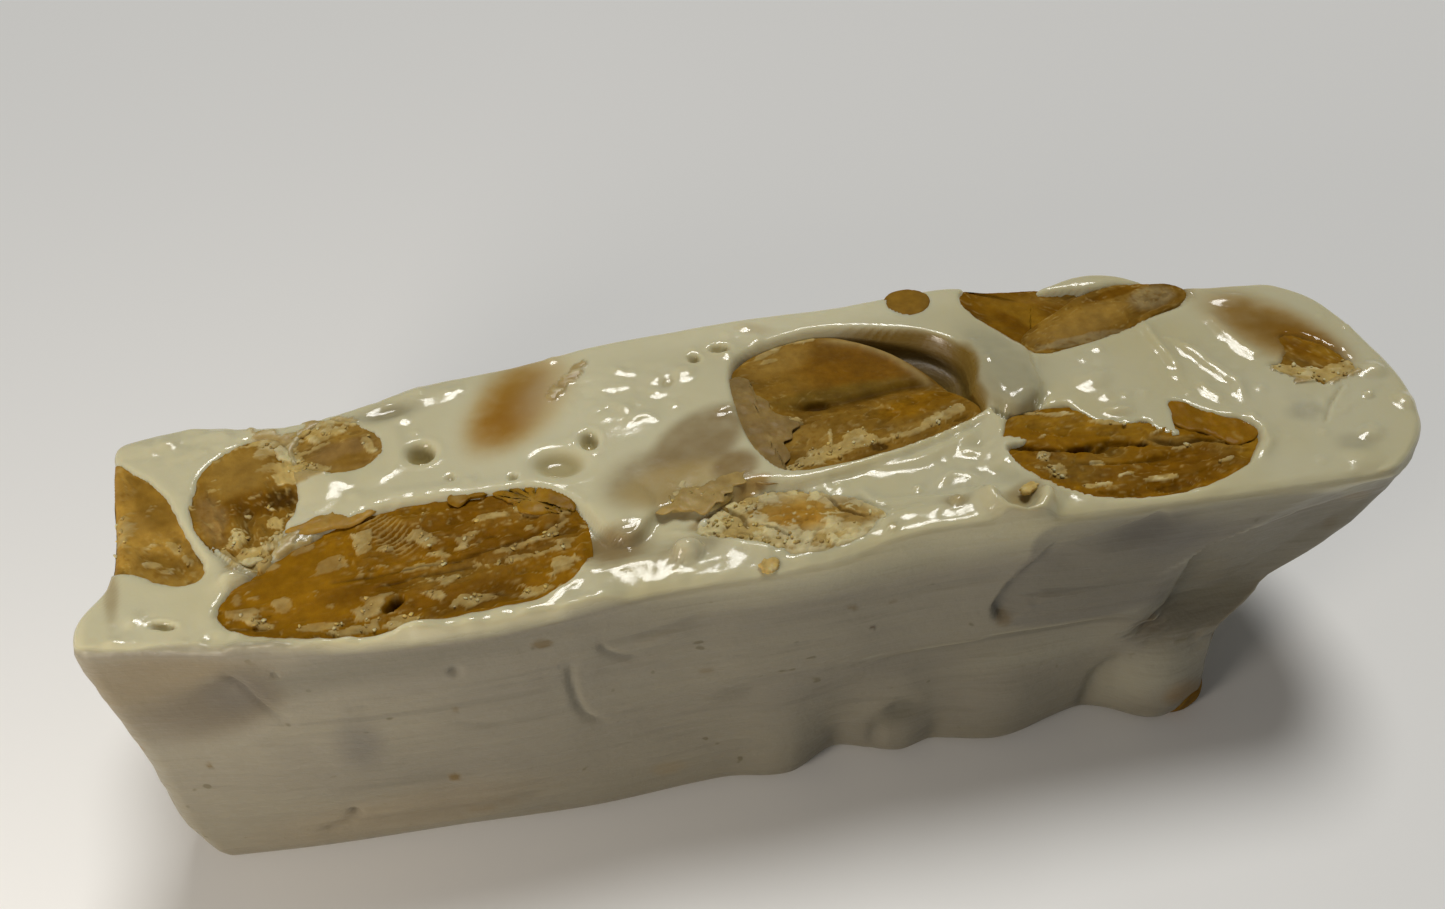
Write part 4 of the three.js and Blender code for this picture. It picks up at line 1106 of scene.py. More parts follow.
def ledge_height(points, back):
    """Height of the lower ledge along the front, and of the swells behind the rim."""
    shelf = smooth(inside(points, closed_curve(SHELF, 6), 12.0) + 0.15 * noise(points, 1.3, 5), -0.3, 0.3)
    ledge = within(points[:, 0], LEDGE["left"], LEDGE["right"], LEDGE["run"]) * (1 - shelf)
    crest = LEDGE["slope"] * (1 + 0.35 * noise(points, 4.5, 9)) * np.clip(back, 0, LEDGE["crest"])
    fall = smooth(back, LEDGE["crest"] - 0.3, LEDGE["floor"])
    height = ledge * (crest * (1 - fall) - LEDGE["valley"] * fall)
    for left, right, rise, reach in SWELLS:
        swell = within(points[:, 0], left, right, 2.5) * smooth(back, -0.8, 0)
        uneven = 1 + 0.3 * noise(points, 2.2, 10)
        height += swell * uneven * rise * (1 - np.clip(back, 0, reach) / reach)
    return height


def wet_ripples(points, back):
    """Height of small uneven ripples, which are highest where the cut face is wet and rumpled."""
    wet = 0.12 + 0.5 * within(back, 0, 1.2, 0.8)
    for *spot, strength in WET:
        wet = np.maximum(wet, strength * spot_mask(points, *spot, 0.9))
    return wet * (0.09 * noise(points, (1.7, 1.1), 81) + 0.07 * noise(points, (0.9, 0.7), 82))


def raised_parts(points):
    """Height of the lobes, bumps, beads, ridges and sparks, which stand up from the cut face."""
    height = np.zeros(len(points))
    for outline, rise, edge, full, gone in LOBES:
        share = np.clip((inside(points, closed_curve(outline, 6), 3.0) + 0.1) / edge, 0, 1)
        height += rise * np.sqrt(1 - (1 - share) ** 2) * (1 - smooth(points[:, 1], full, gone))
    for *spot, rise in BUMPS:
        height += rise * (1 - smooth(round_spot(points, *spot), 0.15, 1))
    for x, y, radius in BEADS:
        s = round_spot(points, x, y, radius, radius)
        height += BEAD_RISE * radius * np.sqrt(np.clip(1 - s * s, 0, 1))
    for line, width, rise in RIDGES:
        height += rise * raised_line(points, line, width)
    for x, y, size in SPARKS:
        s = round_spot(points, x, y, size * 2.2, size * 1.8, 35 * math.sin(x * 7 + y))
        height += SPARK_RISE * size * (1 - smooth(s, 0, 1))
    return height


def sunk_parts(points, tint, hollow):
    """Depth of the bubbles, the cuts, the hollow and the almonds' pockets, with the paint inside them.
    In the bubbles, the cuts and the hollow it is painted shade, darker further in.
    """
    depth = np.zeros(len(points))
    for *spot, deep in BUBBLES:
        s = round_spot(points, *spot)
        depth += deep * (1 - smooth(s, 0.35, 1.12)) - 0.07 * min(1, deep) * bell(s - 1.35, 0.22)
        # painted shade: a darker tone inside each bubble, more in deeper ones
        paint(tint, (1 - smooth(s, 0.5, 1.05)) * min(0.9, 0.3 + 0.5 * deep), "hollow")
    for line, width, deep in CUTS:
        along = raised_line(points, line, width)
        depth += deep * along
        # painted shade along the cuts
        paint(tint, 0.25 * along, "hollow")
    depth += HOLLOW_WALL * smooth(hollow, -0.25, 0.9) + HOLLOW_BOWL * smooth(hollow, 0.8, 3.5)
    # painted shade in the hollow, darker further in
    paint(tint, 0.75 * smooth(hollow, -0.2, 1.2) * (1 - smooth(points[:, 0], 12, 15.5)), "hollow")
    for spec in ALMONDS.values():
        if spec.get("veiled"):
            continue
        pocket, d = pocket_depth(points, spec)
        depth += pocket
        # darker nougat down inside each pocket
        paint(tint, 0.6 * smooth(d, 0.1, 0.6), "stain_and_shade")
    return depth


def cut_face_relief(points, tint, gloss):
    """Height of the torn cut face over its plain form at places on it, with its paint and its gloss."""
    x = points[:, 0]
    back = points[:, 1] - through(FRONT_RIM_Y, x) + 0.6 * noise(points, 3.5, 8)
    hollow = inside(points, closed_curve(HOLLOW))
    # painted light: the cut face brighter at its left and middle
    for *spot, soft, strength in PAINTED_LIGHT_PARTS:
        paint(tint, strength * spot_mask(points, *spot, soft), "painted_light")
    height = ledge_height(points, back) + wet_ripples(points, back) + raised_parts(points)
    height = np.maximum(height - sunk_parts(points, tint, hollow), -DEEPEST)
    uneven = 1 + 0.22 * fractal(points, (1.6, 1.1), 3, 71)
    for *spot, soft, tone, strength in STAINS:
        paint(tint, strength * uneven * spot_mask(points, *spot, soft), tone)
    # The hollow's wall: a film tone higher up, dark brown further right and deeper in, partly the almond's
    # colour and partly painted shade.
    deep = smooth(x, 10, 14.5)
    paint(tint, 0.85 * smooth(hollow, -0.35, 0.9) * smooth(x, 7, 13), "film")
    paint(tint, 0.9 * smooth(hollow, -0.25, 0.12) * deep, "umber")
    paint(tint, 0.9 * smooth(hollow, 0.15, 0.9) * deep, "stain_and_shade")
    gloss[:] = 0.9 - 0.25 * smooth(noise(points, 7, 11), 0.2, 0.8)
    gloss *= 1 - 0.9 * smooth(hollow, -0.05, 0.3) * smooth(x, 8, 12)
    gloss *= 1 - 0.8 * (1 - smooth(x, -36, -30)) * (1 - smooth(back, 0.2, 0.9))
    scrap, speckle = scraps_at(points, SCRAPS, -1.5, 91)
    height += scrap * (0.12 + 0.1 * speckle)
    paint_scraps(tint, scrap, speckle)
    gloss -= 0.6 * scrap
    return height


def side_relief(points, tint, seed, features):
    """How far a smooth side stands out of its plain form at places on it, with its paint.
    The paint lays painted shade along the grooves.
    """
    out = 0.10 * noise(points, (16, 1.5), seed) + 0.05 * noise(points, (8, 0.7), seed + 1)
    out += 0.12 * noise(points, (9, 5), seed + 2)
    for line, width, depth in features["grooves"]:
        along = raised_line(points, line, width)
        out -= depth * along
        # painted shade along each groove
        paint(tint, 0.7 * min(1, depth * 3) * along, "shade")
    for line, depth, fade in features["steps"]:
        out -= depth * step_beside(points, line, fade)
    for outline, tone, strength in features.get("planes", []):
        # a plane's tone, painted shade on the front's set-back facets
        paint(tint, strength * smooth(inside(points, closed_curve(outline, 6)), -0.2, 0.3), tone)
    for *spot, rise in features["dents"]:
        out += rise * (1 - smooth(round_spot(points, *spot), 0.1, 1))
    for *spot, soft, tone, strength in features["specks"]:
        # specks, which are stains and also painted shade and light
        paint(tint, strength * spot_mask(points, *spot, soft), tone)
    return out


def hidden_features(seed, length, height):
    """Folds, dents, steps and specks for a side that is finished like the front one."""
    rng = np.random.default_rng(seed)
    grooves, dents, specks, steps = [], [], [], []
    for _ in range(int(length / 6)):
        x, z = rng.uniform(0, length), rng.uniform(3, height - 3)
        lean, run = rng.uniform(-0.6, 0.6), rng.uniform(2, 6)
        bend = rng.uniform(-0.6, 0.6)
        line = [(x + run * t, z + run * lean * t + bend * t * t) for t in (-0.5, -0.2, 0.1, 0.5)]
        grooves.append((line, rng.uniform(0.3, 0.6), rng.uniform(0.12, 0.35)))
    for _ in range(int(length / 8)):
        x, z = rng.uniform(0, length), rng.uniform(2, height - 2)
        radii = rng.uniform(0.8, 5), rng.uniform(0.8, 4)
        dents.append((x, z, *radii, rng.uniform(-40, 40), rng.uniform(-0.55, 0.3)))
    for _ in range(int(length / 7)):
        x, z = rng.uniform(0, length), rng.uniform(1, height - 1)
        size = rng.uniform(0.2, 0.5)
        specks.append((x, z, size, size * 0.7, rng.uniform(-40, 40), 0.5, "roast", 0.6))
    for _ in range(int(length / 22) + 1):
        x, z = rng.uniform(2, length - 2), rng.uniform(height * 0.3, height * 0.7)
        lean, reach = rng.uniform(-0.4, 0.4), rng.uniform(3, 7)
        line = [(x + lean * t, z + t) for t in (-reach, -0.3 * reach, 0.4 * reach, reach)]
        steps.append((line, rng.uniform(0.3, 0.6), rng.uniform(4, 8)))
    return {"grooves": grooves, "dents": dents, "specks": specks, "steps": steps}


def bar_grid(sizes):
    """The bar's cube grid, with finer cells up its front side and one flat face for most of its base."""
    bm = gridded_cube((sizes.along, sizes.across, sizes.up))
    upright = [
        edge for edge in bm.edges
        if all(v.co.y < -ON_FACE for v in edge.verts) and edge.verts[0].co.z != edge.verts[1].co.z
    ]
    bmesh.ops.subdivide_edges(bm, edges=upright, cuts=1, use_grid_fill=True)
    flat = 1 - (FOOT_ROUND + 0.1) / HALF_BAR
    base = [
        face for face in bm.faces
        if all(v.co.z < -ON_FACE and abs(v.co.x) < flat[0] and abs(v.co.y) < flat[1] for v in face.verts)
    ]
    bmesh.ops.dissolve_faces(bm, faces=base, use_verts=True)
    return bm


def nougat_mesh(sizes):
    """The bar of nougat in metres, with its paint and its gloss."""
    bm = bar_grid(sizes)
    cube = places(bm)
    up = (cube[:, 2] + 1) / 2
    cube[:, 2] = lerp(up, 1 - (1 - up) ** 2, CROWDING) * 2 - 1
    point, share = onto_bar(cube)
    count = len(point)
    tint, gloss = np.zeros((count, 4)), np.zeros(count)
    tint[:, :3] = TONES["shade"]

    put(bm, point)
    bm.normal_update()
    normal = np.array([vertex.normal for vertex in bm.verts], float)
    lift = share[:, 2] * HEIGHT
    swell = sizes.swell * fractal(point, 8, 3, 21)
    foot = smooth(point[:, 2], 0.2, 3)
    moved = point + normal * (swell * foot * (1 - 0.3 * smooth(lift, 24, 26)))[:, None]

    top = np.flatnonzero(lift > CUT_FACE_FROM)
    painted, glossed = tint[top], gloss[top]
    relief = cut_face_relief(seen_on_top(*point[top].T), painted, glossed)
    moved[top, 2] += relief * smooth(lift[top], *RELIEF_SETS_IN)
    painted[:, 3] *= smooth(lift[top], *PAINT_SETS_IN)
    tint[top] = painted
    gloss[top] = glossed * smooth(lift[top], *GLOSS_SETS_IN)

    from_low = share * HALF_BAR * 2
    from_high = HALF_BAR * 2 - from_low
    front, back = (np.flatnonzero(gap[:, 1] < SIDE_BAND) for gap in (from_low, from_high))
    left, right = (np.flatnonzero(gap[:, 0] < SIDE_BAND) for gap in (from_low, from_high))
    length, end_width = int(RIGHT_END - LEFT_END), int(DEPTH)
    behind = point[back][:, [0, 2]] - np.array([LEFT_END, 0])
    sides = [
        (front, 1, -1, seen_in_front(*point[front].T), FRONT, 31),
        (back, 1, 1, behind, hidden_features(4, length, HEIGHT), 41),
        (left, 0, -1, point[left][:, [1, 2]], hidden_features(7, end_width, HEIGHT), 51),
        (right, 0, 1, point[right][:, [1, 2]], hidden_features(9, end_width, HEIGHT), 61),
    ]
    for rows, axis, sign, spots, features, seed in sides:
        painted = tint[rows]
        out = side_relief(spots, painted, seed, features)
        edge = (from_low if sign < 0 else from_high)[rows, axis]
        keep = (1 - smooth(edge, *SIDE_EDGE)) * (1 - smooth(lift[rows], *SIDE_FADES))
        keep *= smooth(point[rows, 2], 0, 1.5)
        moved[rows, axis] += sign * out * keep
        painted[:, 3] *= keep
        stronger = painted[:, 3] > tint[rows, 3]
        tint[rows] = np.where(stronger[:, None], painted, tint[rows])
    moved[:, 2] = np.maximum(moved[:, 2], 0)
    put(bm, in_metres(moved))
    return bm, tint, gloss


# ---- Almonds ----


def spread(outline, turn, step):
    """A closed cube grid over an outline: bmesh, places in plan, shares of the way out and upper side."""
    middle = (outline.min(axis=0) + outline.max(axis=0)) / 2
    turned_outline = turned(outline - middle, turn)
    low, high = turned_outline.min(axis=0), turned_outline.max(axis=0)
    radii, centre = (high - low) / 2, (high + low) / 2
    rim_x, rim_y = ((turned_outline - centre) / radii).T
    order = np.argsort(np.arctan2(rim_y, rim_x))
    angles, reaches = np.arctan2(rim_y, rim_x)[order], np.hypot(rim_x, rim_y)[order]
    bm = gridded_cube([max(6, int(2 * r / step)) for r in radii] + [1])
    u, v, side = places(bm).T
    x, y = u * np.sqrt(1 - v * v / 2), v * np.sqrt(1 - u * u / 2)
    share = np.hypot(x, y)
    reach = np.interp(np.arctan2(y, x), angles, reaches, period=2 * math.pi)
    plan = np.column_stack([x, y]) * reach[:, None] * radii + centre
    return bm, turned(plan, -turn) + middle, np.minimum(share, 1), side > 0


def broken_flesh(spots, spec, tint, rough, seed):
    """Height of an almond's overlapping plates and fibres, with their paint, and the crumble across them."""
    grain = turned(spots, spec["turn"])
    plate = fractal(grain, (4.2, 1.7), 3, seed) * 2.6
    level = np.floor(plate)
    step = level + smooth(plate - level, 0.3, 0.62)
    fibre = noise(grain, (2.6, 0.34), seed + 7) + 0.6 * noise(grain, (1.2, 0.17), seed + 8)
    crumble = fractal(grain, (0.75, 0.5), 2, seed + 9)
    tint[:, :3], tint[:, 3] = TONES[spec["tone"]], 1
    bent = spots + 0.25 * np.column_stack([noise(spots, 1.2, seed + 3), noise(spots, 1.2, seed + 4)])
    for *spot, soft, tone in spec.get("tones", []):
        paint(tint, 0.9 * spot_mask(bent, *spot, soft), tone)
    # painted shade: darker in the low steps and dips of the plates
    low = smooth(-step + 0.5 * crumble, 0.4, 1.8) * rough
    paint(tint, (0.15 if "chunked" in spec else 0.55) * low, "dark")
    paint(tint, 0.25 * smooth(step + 0.4 * fibre, 0.5, 1.9) * rough, "tan")
    paint(tint, 0.25 * smooth(fibre, 0.4, 1.3) * rough, "roast")
    rim = smooth(plate - level, 0.3, 0.46) * (1 - smooth(plate - level, 0.46, 0.64))
    paint(tint, 0.5 * rim * rough * smooth(crumble, -0.3, 0.4), "crumb")
    return rough * (spec["plates"] * step * 0.38 + spec["fibre"] * fibre), crumble, fibre


def almond_marks(spots, spec, tint, seed):
    """Height of an almond's combed places, creases, edges and pits, with their paint.
    The creases and the pits are painted dark, as shade.
    """
    height = np.zeros(len(spots))
    for x, y, radius_x, radius_y, turn, pitch in spec.get("combs", []):
        area = spot_mask(spots, x, y, radius_x, radius_y, turn, 0.5)
        along, across = turned(spots - np.array([x, y]), turn).T
        wave = np.cos(2 * math.pi * (along + 0.12 * across**2) / pitch)
        height += 0.08 * area * wave
        paint(tint, area * smooth(wave, 0.2, 0.8) * 0.6, "crumb")
    for line, width, depth in spec.get("creases", []):
        along = raised_line(spots, line, width)
        height -= depth * along
        # painted shade in the crease
        paint(tint, 0.6 * along, "dark")
    for line, width, rise, tone in spec.get("edges", []):
        along = raised_line(spots, line, width)
        height += rise * along
        paint(tint, 0.8 * along, tone)
    for *spot, depth in spec.get("pits", []):
        pit = 1 - smooth(round_spot(spots, *spot) + 0.2 * noise(spots, 0.6, seed + 17), 0.45, 1.1)
        height -= depth * pit
        # painted shade in the pit
        paint(tint, 0.9 * pit, "dark")
    return height


def almond_detail(spots, spec, tint, gloss, seed):
    """Height of an almond's broken surface and how crumbly it is, with its paint and its gloss."""
    rough = np.ones(len(spots))
    for spot in spec.get("smooths", []):
        rough *= 1 - 0.88 * spot_mask(spots, *spot, 0.7)
    height, crumble, fibre = broken_flesh(spots, spec, tint, rough, seed)
    scraps = spec.get("scraps", []) + SCRAPS
    scrap, speckle = scraps_at(spots, scraps, 0.7 * spec.get("crumbs", 0) - 0.55, seed + 11)
    scrap *= np.maximum(rough, 0.5)
    height += scrap * (0.1 + 0.05 * speckle)
    if "chunked" not in spec:
        warm = smooth(fractal(spots, 0.5, 2, seed + 15), 0.1, 0.6)
        paint(tint, 0.5 * warm * rough * (1 - scrap), "amber")
    paint_scraps(tint, scrap, speckle, spec.get("chalky", 1))
    if "chunked" in spec:
        border, lift = cells(spots + 0.25 * np.column_stack([crumble, fibre]), (1.3, 0.9), seed + 21)
        height += spec["chunked"] * (lift - 0.5 + 0.5 * smooth(border, 0, 0.35))
        paint(tint, 0.75 * smooth(lift, 0.2, 0.8) * (tint[:, 2] > PALE_ENOUGH), "chalk")
        gaps = (1 - smooth(border, 0.02, 0.14)) * smooth(noise(spots, 1.8, seed + 22), -0.2, 0.3)
        paint(tint, 0.4 * gaps, "roast")
    height += almond_marks(spots, spec, tint, seed)
    gloss[:] = np.clip(0.6 - 0.45 * scrap + 0.25 * (1 - rough), 0, 1)
    return height, scrap


def almond_mesh(name, spec, step):
    """A broken almond let into the cut face, in metres, with its paint, its gloss and its crumbly share."""
    seed = sum(map(ord, name)) % SEEDS
    outline = closed_curve(spec["outline"])
    outline = np.column_stack(under_sight(outline, crown(*outline.T)))
    out = outline - outline.mean(axis=0)
    outline = outline + out / np.linalg.norm(out, axis=1, keepdims=True) * spec.get("reach", USUAL_REACH)
    bm, plan, share, upper = spread(outline, spec["turn"], step)
    x, y = plan.T
    bulge = 1 - share**2
    level = crown(x, y) - spec["drop"] + spec.get("level", 0) + spec["dome"] * bulge
    tilt_x, tilt_y = spec.get("slope", (0, 0))
    level = level + tilt_x * (x - x.mean()) + tilt_y * (y - y.mean())
    tint, gloss = np.zeros((len(x), 4)), np.zeros(len(x))
    detail, crumbly = almond_detail(seen_on_top(x, y, level), spec, tint, gloss, seed)
    detail *= 1 - smooth(share, 0.93, 1)
    z = np.where(upper, level + detail, level - 0.3 - ALMOND_DEPTH * np.sqrt(np.maximum(bulge, 0)))
    z = np.where(upper, z - 0.25 * smooth(share, 0.94, 1), z)
    rounded = np.clip(x - left_end(y, z), 0, END_RUN) / END_RUN
    z = z - END_DROP * (1 - rounded) ** 2
    x = np.maximum(x, left_end(y, z) + SHOWS_BY)
    put(bm, in_metres(np.column_stack([x, y, z])))
    return bm, tint, gloss, crumbly * (upper & (share < 0.9))


def foot_almond_mesh():
    """The tip of the almond inside the round lump at the right of the foot, with its paint and its gloss."""
    bm = gridded_cube((24, 24, 24))
    cube = places(bm)
    ball = cube / np.linalg.norm(cube, axis=1, keepdims=True)
    plan = turned(ball[:, :2] * np.array(FOOT_ALMOND["radii"]), FOOT_ALMOND["turn"])
    x, y = (plan + np.array(FOOT_ALMOND["at"])).T
    z = FOOT_ALMOND["z"] + FOOT_ALMOND["radius_z"] * ball[:, 2]
    uneven = 0.05 * noise(np.column_stack([x, z]), 1.2, 3)
    y = np.maximum(y, front_side(x, np.maximum(z, 0)) - SHOWS_BY) + uneven
    x = np.minimum(x, right_end(y, np.maximum(z, 0)) + SHOWS_BY)
    tint = np.ones((len(x), 4))
    tint[:, :3] = TONES["roast"]
    paint(tint, smooth(noise(np.column_stack([x, z]), 1.4, 5), -0.1, 0.5) * 0.6, "amber")
    put(bm, in_metres(np.column_stack([x, y, np.maximum(z, 0.02)])))
    return bm, tint, np.full(len(x), 0.4)


# ---- Small separate bits ----


def join(parts):
    """One bmesh of several, each a pair of bmesh and paint, with the paint of all."""
    whole = bmesh.new()
    paints = []
    for bm, tint in parts:
        scratch = bpy.data.meshes.new("part")
        bm.to_mesh(scratch)
        bm.free()
        whole.from_mesh(scratch)
        bpy.data.meshes.remove(scratch)
        paints.append(tint)
    return whole, np.concatenate(paints)


def flap(outline, left, right, back, thick, tone, rough, seed, step=0.16):
    """A thin ragged plate over the cut face. Its height runs from left to right and changes at the back."""
    outline = closed_curve(outline, 6)
    outline = outline + 0.12 * np.column_stack([noise(outline, 0.9, seed), noise(outline, 0.9, seed + 1)])
    outline = np.column_stack(under_sight(outline, crown(*outline.T) + (left + right) / 2))
    bm, plan, share, upper = spread(outline, 0, step)
    x, y = plan.T
    across = (x - x.min()) / np.ptp(x)
    behind = (y - y.min()) / np.ptp(y)
    middle = crown(x, y) + lerp(left, right, across) + back * smooth(behind, 0.3, 1)
    wavy = 0.12 * noise(plan, 1.6, seed + 2) + rough * fractal(plan, 0.8, 3, seed + 3)
    half = thick / 2 * np.sqrt(np.maximum(1 - share**8, 0.02))
    z = middle + wavy + np.where(upper, half, -half)
    tint = np.ones((len(x), 4))
    tint[:, :3] = TONES[tone]
    speckle = fractal(plan, 0.6, 3, seed + 5)
    if rough > SKIN_ROUGH:
        paint(tint, 0.35 * smooth(speckle, 0, 0.7), "tan")
        paint(tint, 0.6 * smooth(-speckle, 0.1, 0.7), "chalk")
    else:
        paint(tint, 0.3 * smooth(speckle, 0, 0.8), "roast")
        paint(tint, 0.35 * smooth(fractal(plan, 1.4, 3, seed + 6), 0.2, 0.7), "crumb")
    put(bm, in_metres(np.column_stack([x, y, z])))
    return bm, tint


def scrap_outline(x, y, long, wide, turn, seed):
    """A ragged closed outline round a place."""
    angle = np.arange(44) / 44 * 2 * math.pi
    ring = np.column_stack([np.cos(angle), np.sin(angle)])
    reach = 1 + 0.4 * noise(ring, 0.6, seed) + 0.25 * noise(ring, 0.25, seed + 1)
    return turned(ring * np.array([long / 2, wide / 2]) * reach[:, None], -turn) + np.array([x, y])


def crumb(size, spot, rng):
    """One small angular chunk at a spot in metres, about as wide as the size, with its paint."""
    bm = bmesh.new()
    bmesh.ops.create_icosphere(bm, subdivisions=1, radius=1)
    shape = places(bm) * rng.uniform(0.75, 1.25, (len(bm.verts), 1))
    stretch = np.array([rng.uniform(0.7, 1.5), rng.uniform(0.5, 1), rng.uniform(0.25, 0.5)])
    turn = rng.uniform(0, 360)
    shape = shape * stretch * size / 2 * rng.uniform(0.5, 1.4) * METRES
    shape[:, :2] = turned(shape[:, :2], turn)
    put(bm, shape + spot + np.array([0, 0, CRUMB_LIFT * METRES]))
    tint = np.ones((len(shape), 4))
    tint[:, :3] = TONES[CRUMB_TONES[rng.integers(len(CRUMB_TONES))]]
    return bm, tint


def crumbs(almonds, size, share, seed=5):
    """Small chunks on the crumbly places of the almonds, as one bmesh with its paint."""
    rng = np.random.default_rng(seed)
    parts = []
    for almond in almonds:
        mesh = almond.data
        count = len(mesh.vertices)
        crumbly, spot = np.zeros(count), np.zeros(count * 3)
        mesh.attributes["crumbly"].data.foreach_get("value", crumbly)
        mesh.vertices.foreach_get("co", spot)
        spot = spot.reshape(-1, 3)
        chosen = np.flatnonzero(crumbly * share > rng.uniform(0, 1, count))
        parts += [crumb(size, spot[i], rng) for i in chosen]
    return join(parts)


# ---- Materials ----


# Painted light: under the rim the darker sides turn as pale as the cut face over these heights, and do so
# only right of the places where x passes this range. Both are in metres.
PALE_BAND_Z = (0.0215, 0.0256)
PALE_BAND_X = (-0.015, -0.004)


class Nodes:
    """Adds shader nodes to a material one at a time."""

    def __init__(self, material):
        material.use_nodes = True
        self.tree = material.node_tree
        self.shader = self.tree.nodes["Principled BSDF"]
        self.place = self.add("ShaderNodeTexCoord").outputs["Object"]

    def add(self, kind, **settings):
        """A new node of a kind, with its settings."""
        node = self.tree.nodes.new(kind)
        for name, value in settings.items():
            setattr(node, name, value)
        return node

    def wire(self, source, target):
        """Links an output to an input."""
        self.tree.links.new(source, target)

    def noise(self, size, detail=3.0, squeeze=(1, 1, 1)):
        """Noise in lumps of a size in millimetres, drawn out along the axes that squeeze makes small."""
        stretch = self.add("ShaderNodeMapping")
        stretch.inputs["Scale"].default_value = squeeze
        self.wire(self.place, stretch.inputs["Vector"])
        node = self.add("ShaderNodeTexNoise")
        node.inputs["Scale"].default_value = 1 / (size * METRES)
        node.inputs["Detail"].default_value = detail
        self.wire(stretch.outputs["Vector"], node.inputs["Vector"])
        return node.outputs["Fac"]

    def ranged(self, value, low, high, to_low, to_high):
        """A value brought from one range to another, and kept inside it."""
        node = self.add("ShaderNodeMapRange")
        self.wire(value, node.inputs["Value"])
        for name, number in zip(("From Min", "From Max", "To Min", "To Max"), (low, high, to_low, to_high)):
            node.inputs[name].default_value = number
        return node.outputs["Result"]

    def sums(self, first, second, operation="ADD"):
        """The sum of two values, or what another operation makes of them."""
        node = self.add("ShaderNodeMath", operation=operation)
        self.wire(first, node.inputs[0])
        self.wire(second, node.inputs[1])
        return node.outputs["Value"]

    def mixed(self, share, first, second, blend="MIX"):
        """Two colours mixed. Either may be a socket or a plain colour."""
        node = self.add("ShaderNodeMix", data_type="RGBA", blend_type=blend)
        for value, socket in ((share, node.inputs[0]), (first, node.inputs[6]), (second, node.inputs[7])):
            if isinstance(value, bpy.types.NodeSocket):
                self.wire(value, socket)
            else:
                socket.default_value = value if isinstance(value, float) else (*value, 1)
        return node.outputs[2]

    def bump(self, height, distance):
        """Roughens the surface by a height, with the distance in millimetres."""
        node = self.add("ShaderNodeBump")
        node.inputs["Distance"].default_value = distance * METRES
        self.wire(height, node.inputs["Height"])
        self.wire(node.outputs["Normal"], self.shader.inputs["Normal"])


def shaded(colour, shares):
    """A colour with only a share kept of its red, its green and its blue."""
    return tuple(c * k for c, k in zip(colour, shares))


def nougat_material(colours):
    """Nougat: glossy cream where gloss is high, a dull streaky skin where it is 0, and paint over both.
    The skin is darker partly as painted shade, and its pale band under the rim is painted light.
    """
    made = bpy.data.materials.new("soft_nougat")
    nodes = Nodes(made)
    tint = nodes.add("ShaderNodeAttribute", attribute_name="tint")
    gloss = nodes.add("ShaderNodeAttribute", attribute_name="gloss")
    cream = tuple(colours.nougat)
    warm = shaded(cream, (0.97, 0.94, 0.84))
    cut = nodes.mixed(nodes.ranged(nodes.noise(9, 2), 0.35, 0.7, 0, 1), cream, warm)
    # the sides' colour, darker than the cut face's partly as painted shade
    side = tuple(colours.side)
    dull = shaded(side, (0.9, 0.9, 0.93))
    skin = nodes.mixed(nodes.ranged(nodes.noise(7, 3, (0.4, 1, 1)), 0.35, 0.7, 0, 1), side, dull)
    scored = shaded(side, (0.72, 0.72, 0.72))
    streaks = nodes.ranged(nodes.noise(1.5, 5, (0.09, 0.09, 1)), 0.58, 0.68, 0, 0.5)
    skin = nodes.mixed(streaks, skin, scored)
    specks = nodes.ranged(nodes.noise(1.1, 1, (0.7, 0.7, 1)), 0.745, 0.79, 0, 0.7)
    skin = nodes.mixed(specks, skin, TONES["olive"])
    heights = nodes.add("ShaderNodeSeparateXYZ")
    nodes.wire(nodes.place, heights.inputs["Vector"])
    # painted light: under the rim the sides turn as pale as the cut face
    pale = nodes.ranged(heights.outputs["Z"], *PALE_BAND_Z, 0, 0.7)
    pale = nodes.sums(pale, nodes.ranged(heights.outputs["X"], *PALE_BAND_X, 0.04, 1), "MULTIPLY")
    share = nodes.sums(pale, nodes.ranged(gloss.outputs["Fac"], 0.05, 0.75, 0, 1), "MAXIMUM")
    base = nodes.mixed(share, skin, cut)
    painted = nodes.mixed(tint.outputs["Alpha"], base, tint.outputs["Color"])
    nodes.wire(painted, nodes.shader.inputs["Base Color"])
    slick = nodes.ranged(gloss.outputs["Fac"], 0, 1, colours.side_roughness, colours.cut_roughness)
    uneven = nodes.ranged(nodes.noise(1.2, 2), 0.3, 0.7, -0.04, 0.06)
    nodes.wire(nodes.sums(slick, uneven), nodes.shader.inputs["Roughness"])
    grain = nodes.ranged(nodes.noise(0.5, 3), 0, 1, 0, 0.35)
    drag = nodes.ranged(nodes.noise(0.9, 5, (0.07, 0.07, 1)), 0, 1, 0, 1.6)
    matt = nodes.ranged(gloss.outputs["Fac"], 0, 1, 1, 0.15)
    nodes.bump(nodes.sums(nodes.sums(grain, drag), matt, "MULTIPLY"), colours.side_grain)
    nodes.shader.inputs["Subsurface Weight"].default_value = colours.depth
    nodes.shader.inputs["Subsurface Radius"].default_value = (1.0, 0.8, 0.5)
    nodes.shader.inputs["Subsurface Scale"].default_value = 1.3 * METRES
    nodes.shader.inputs["IOR"].default_value = 1.48
    return made


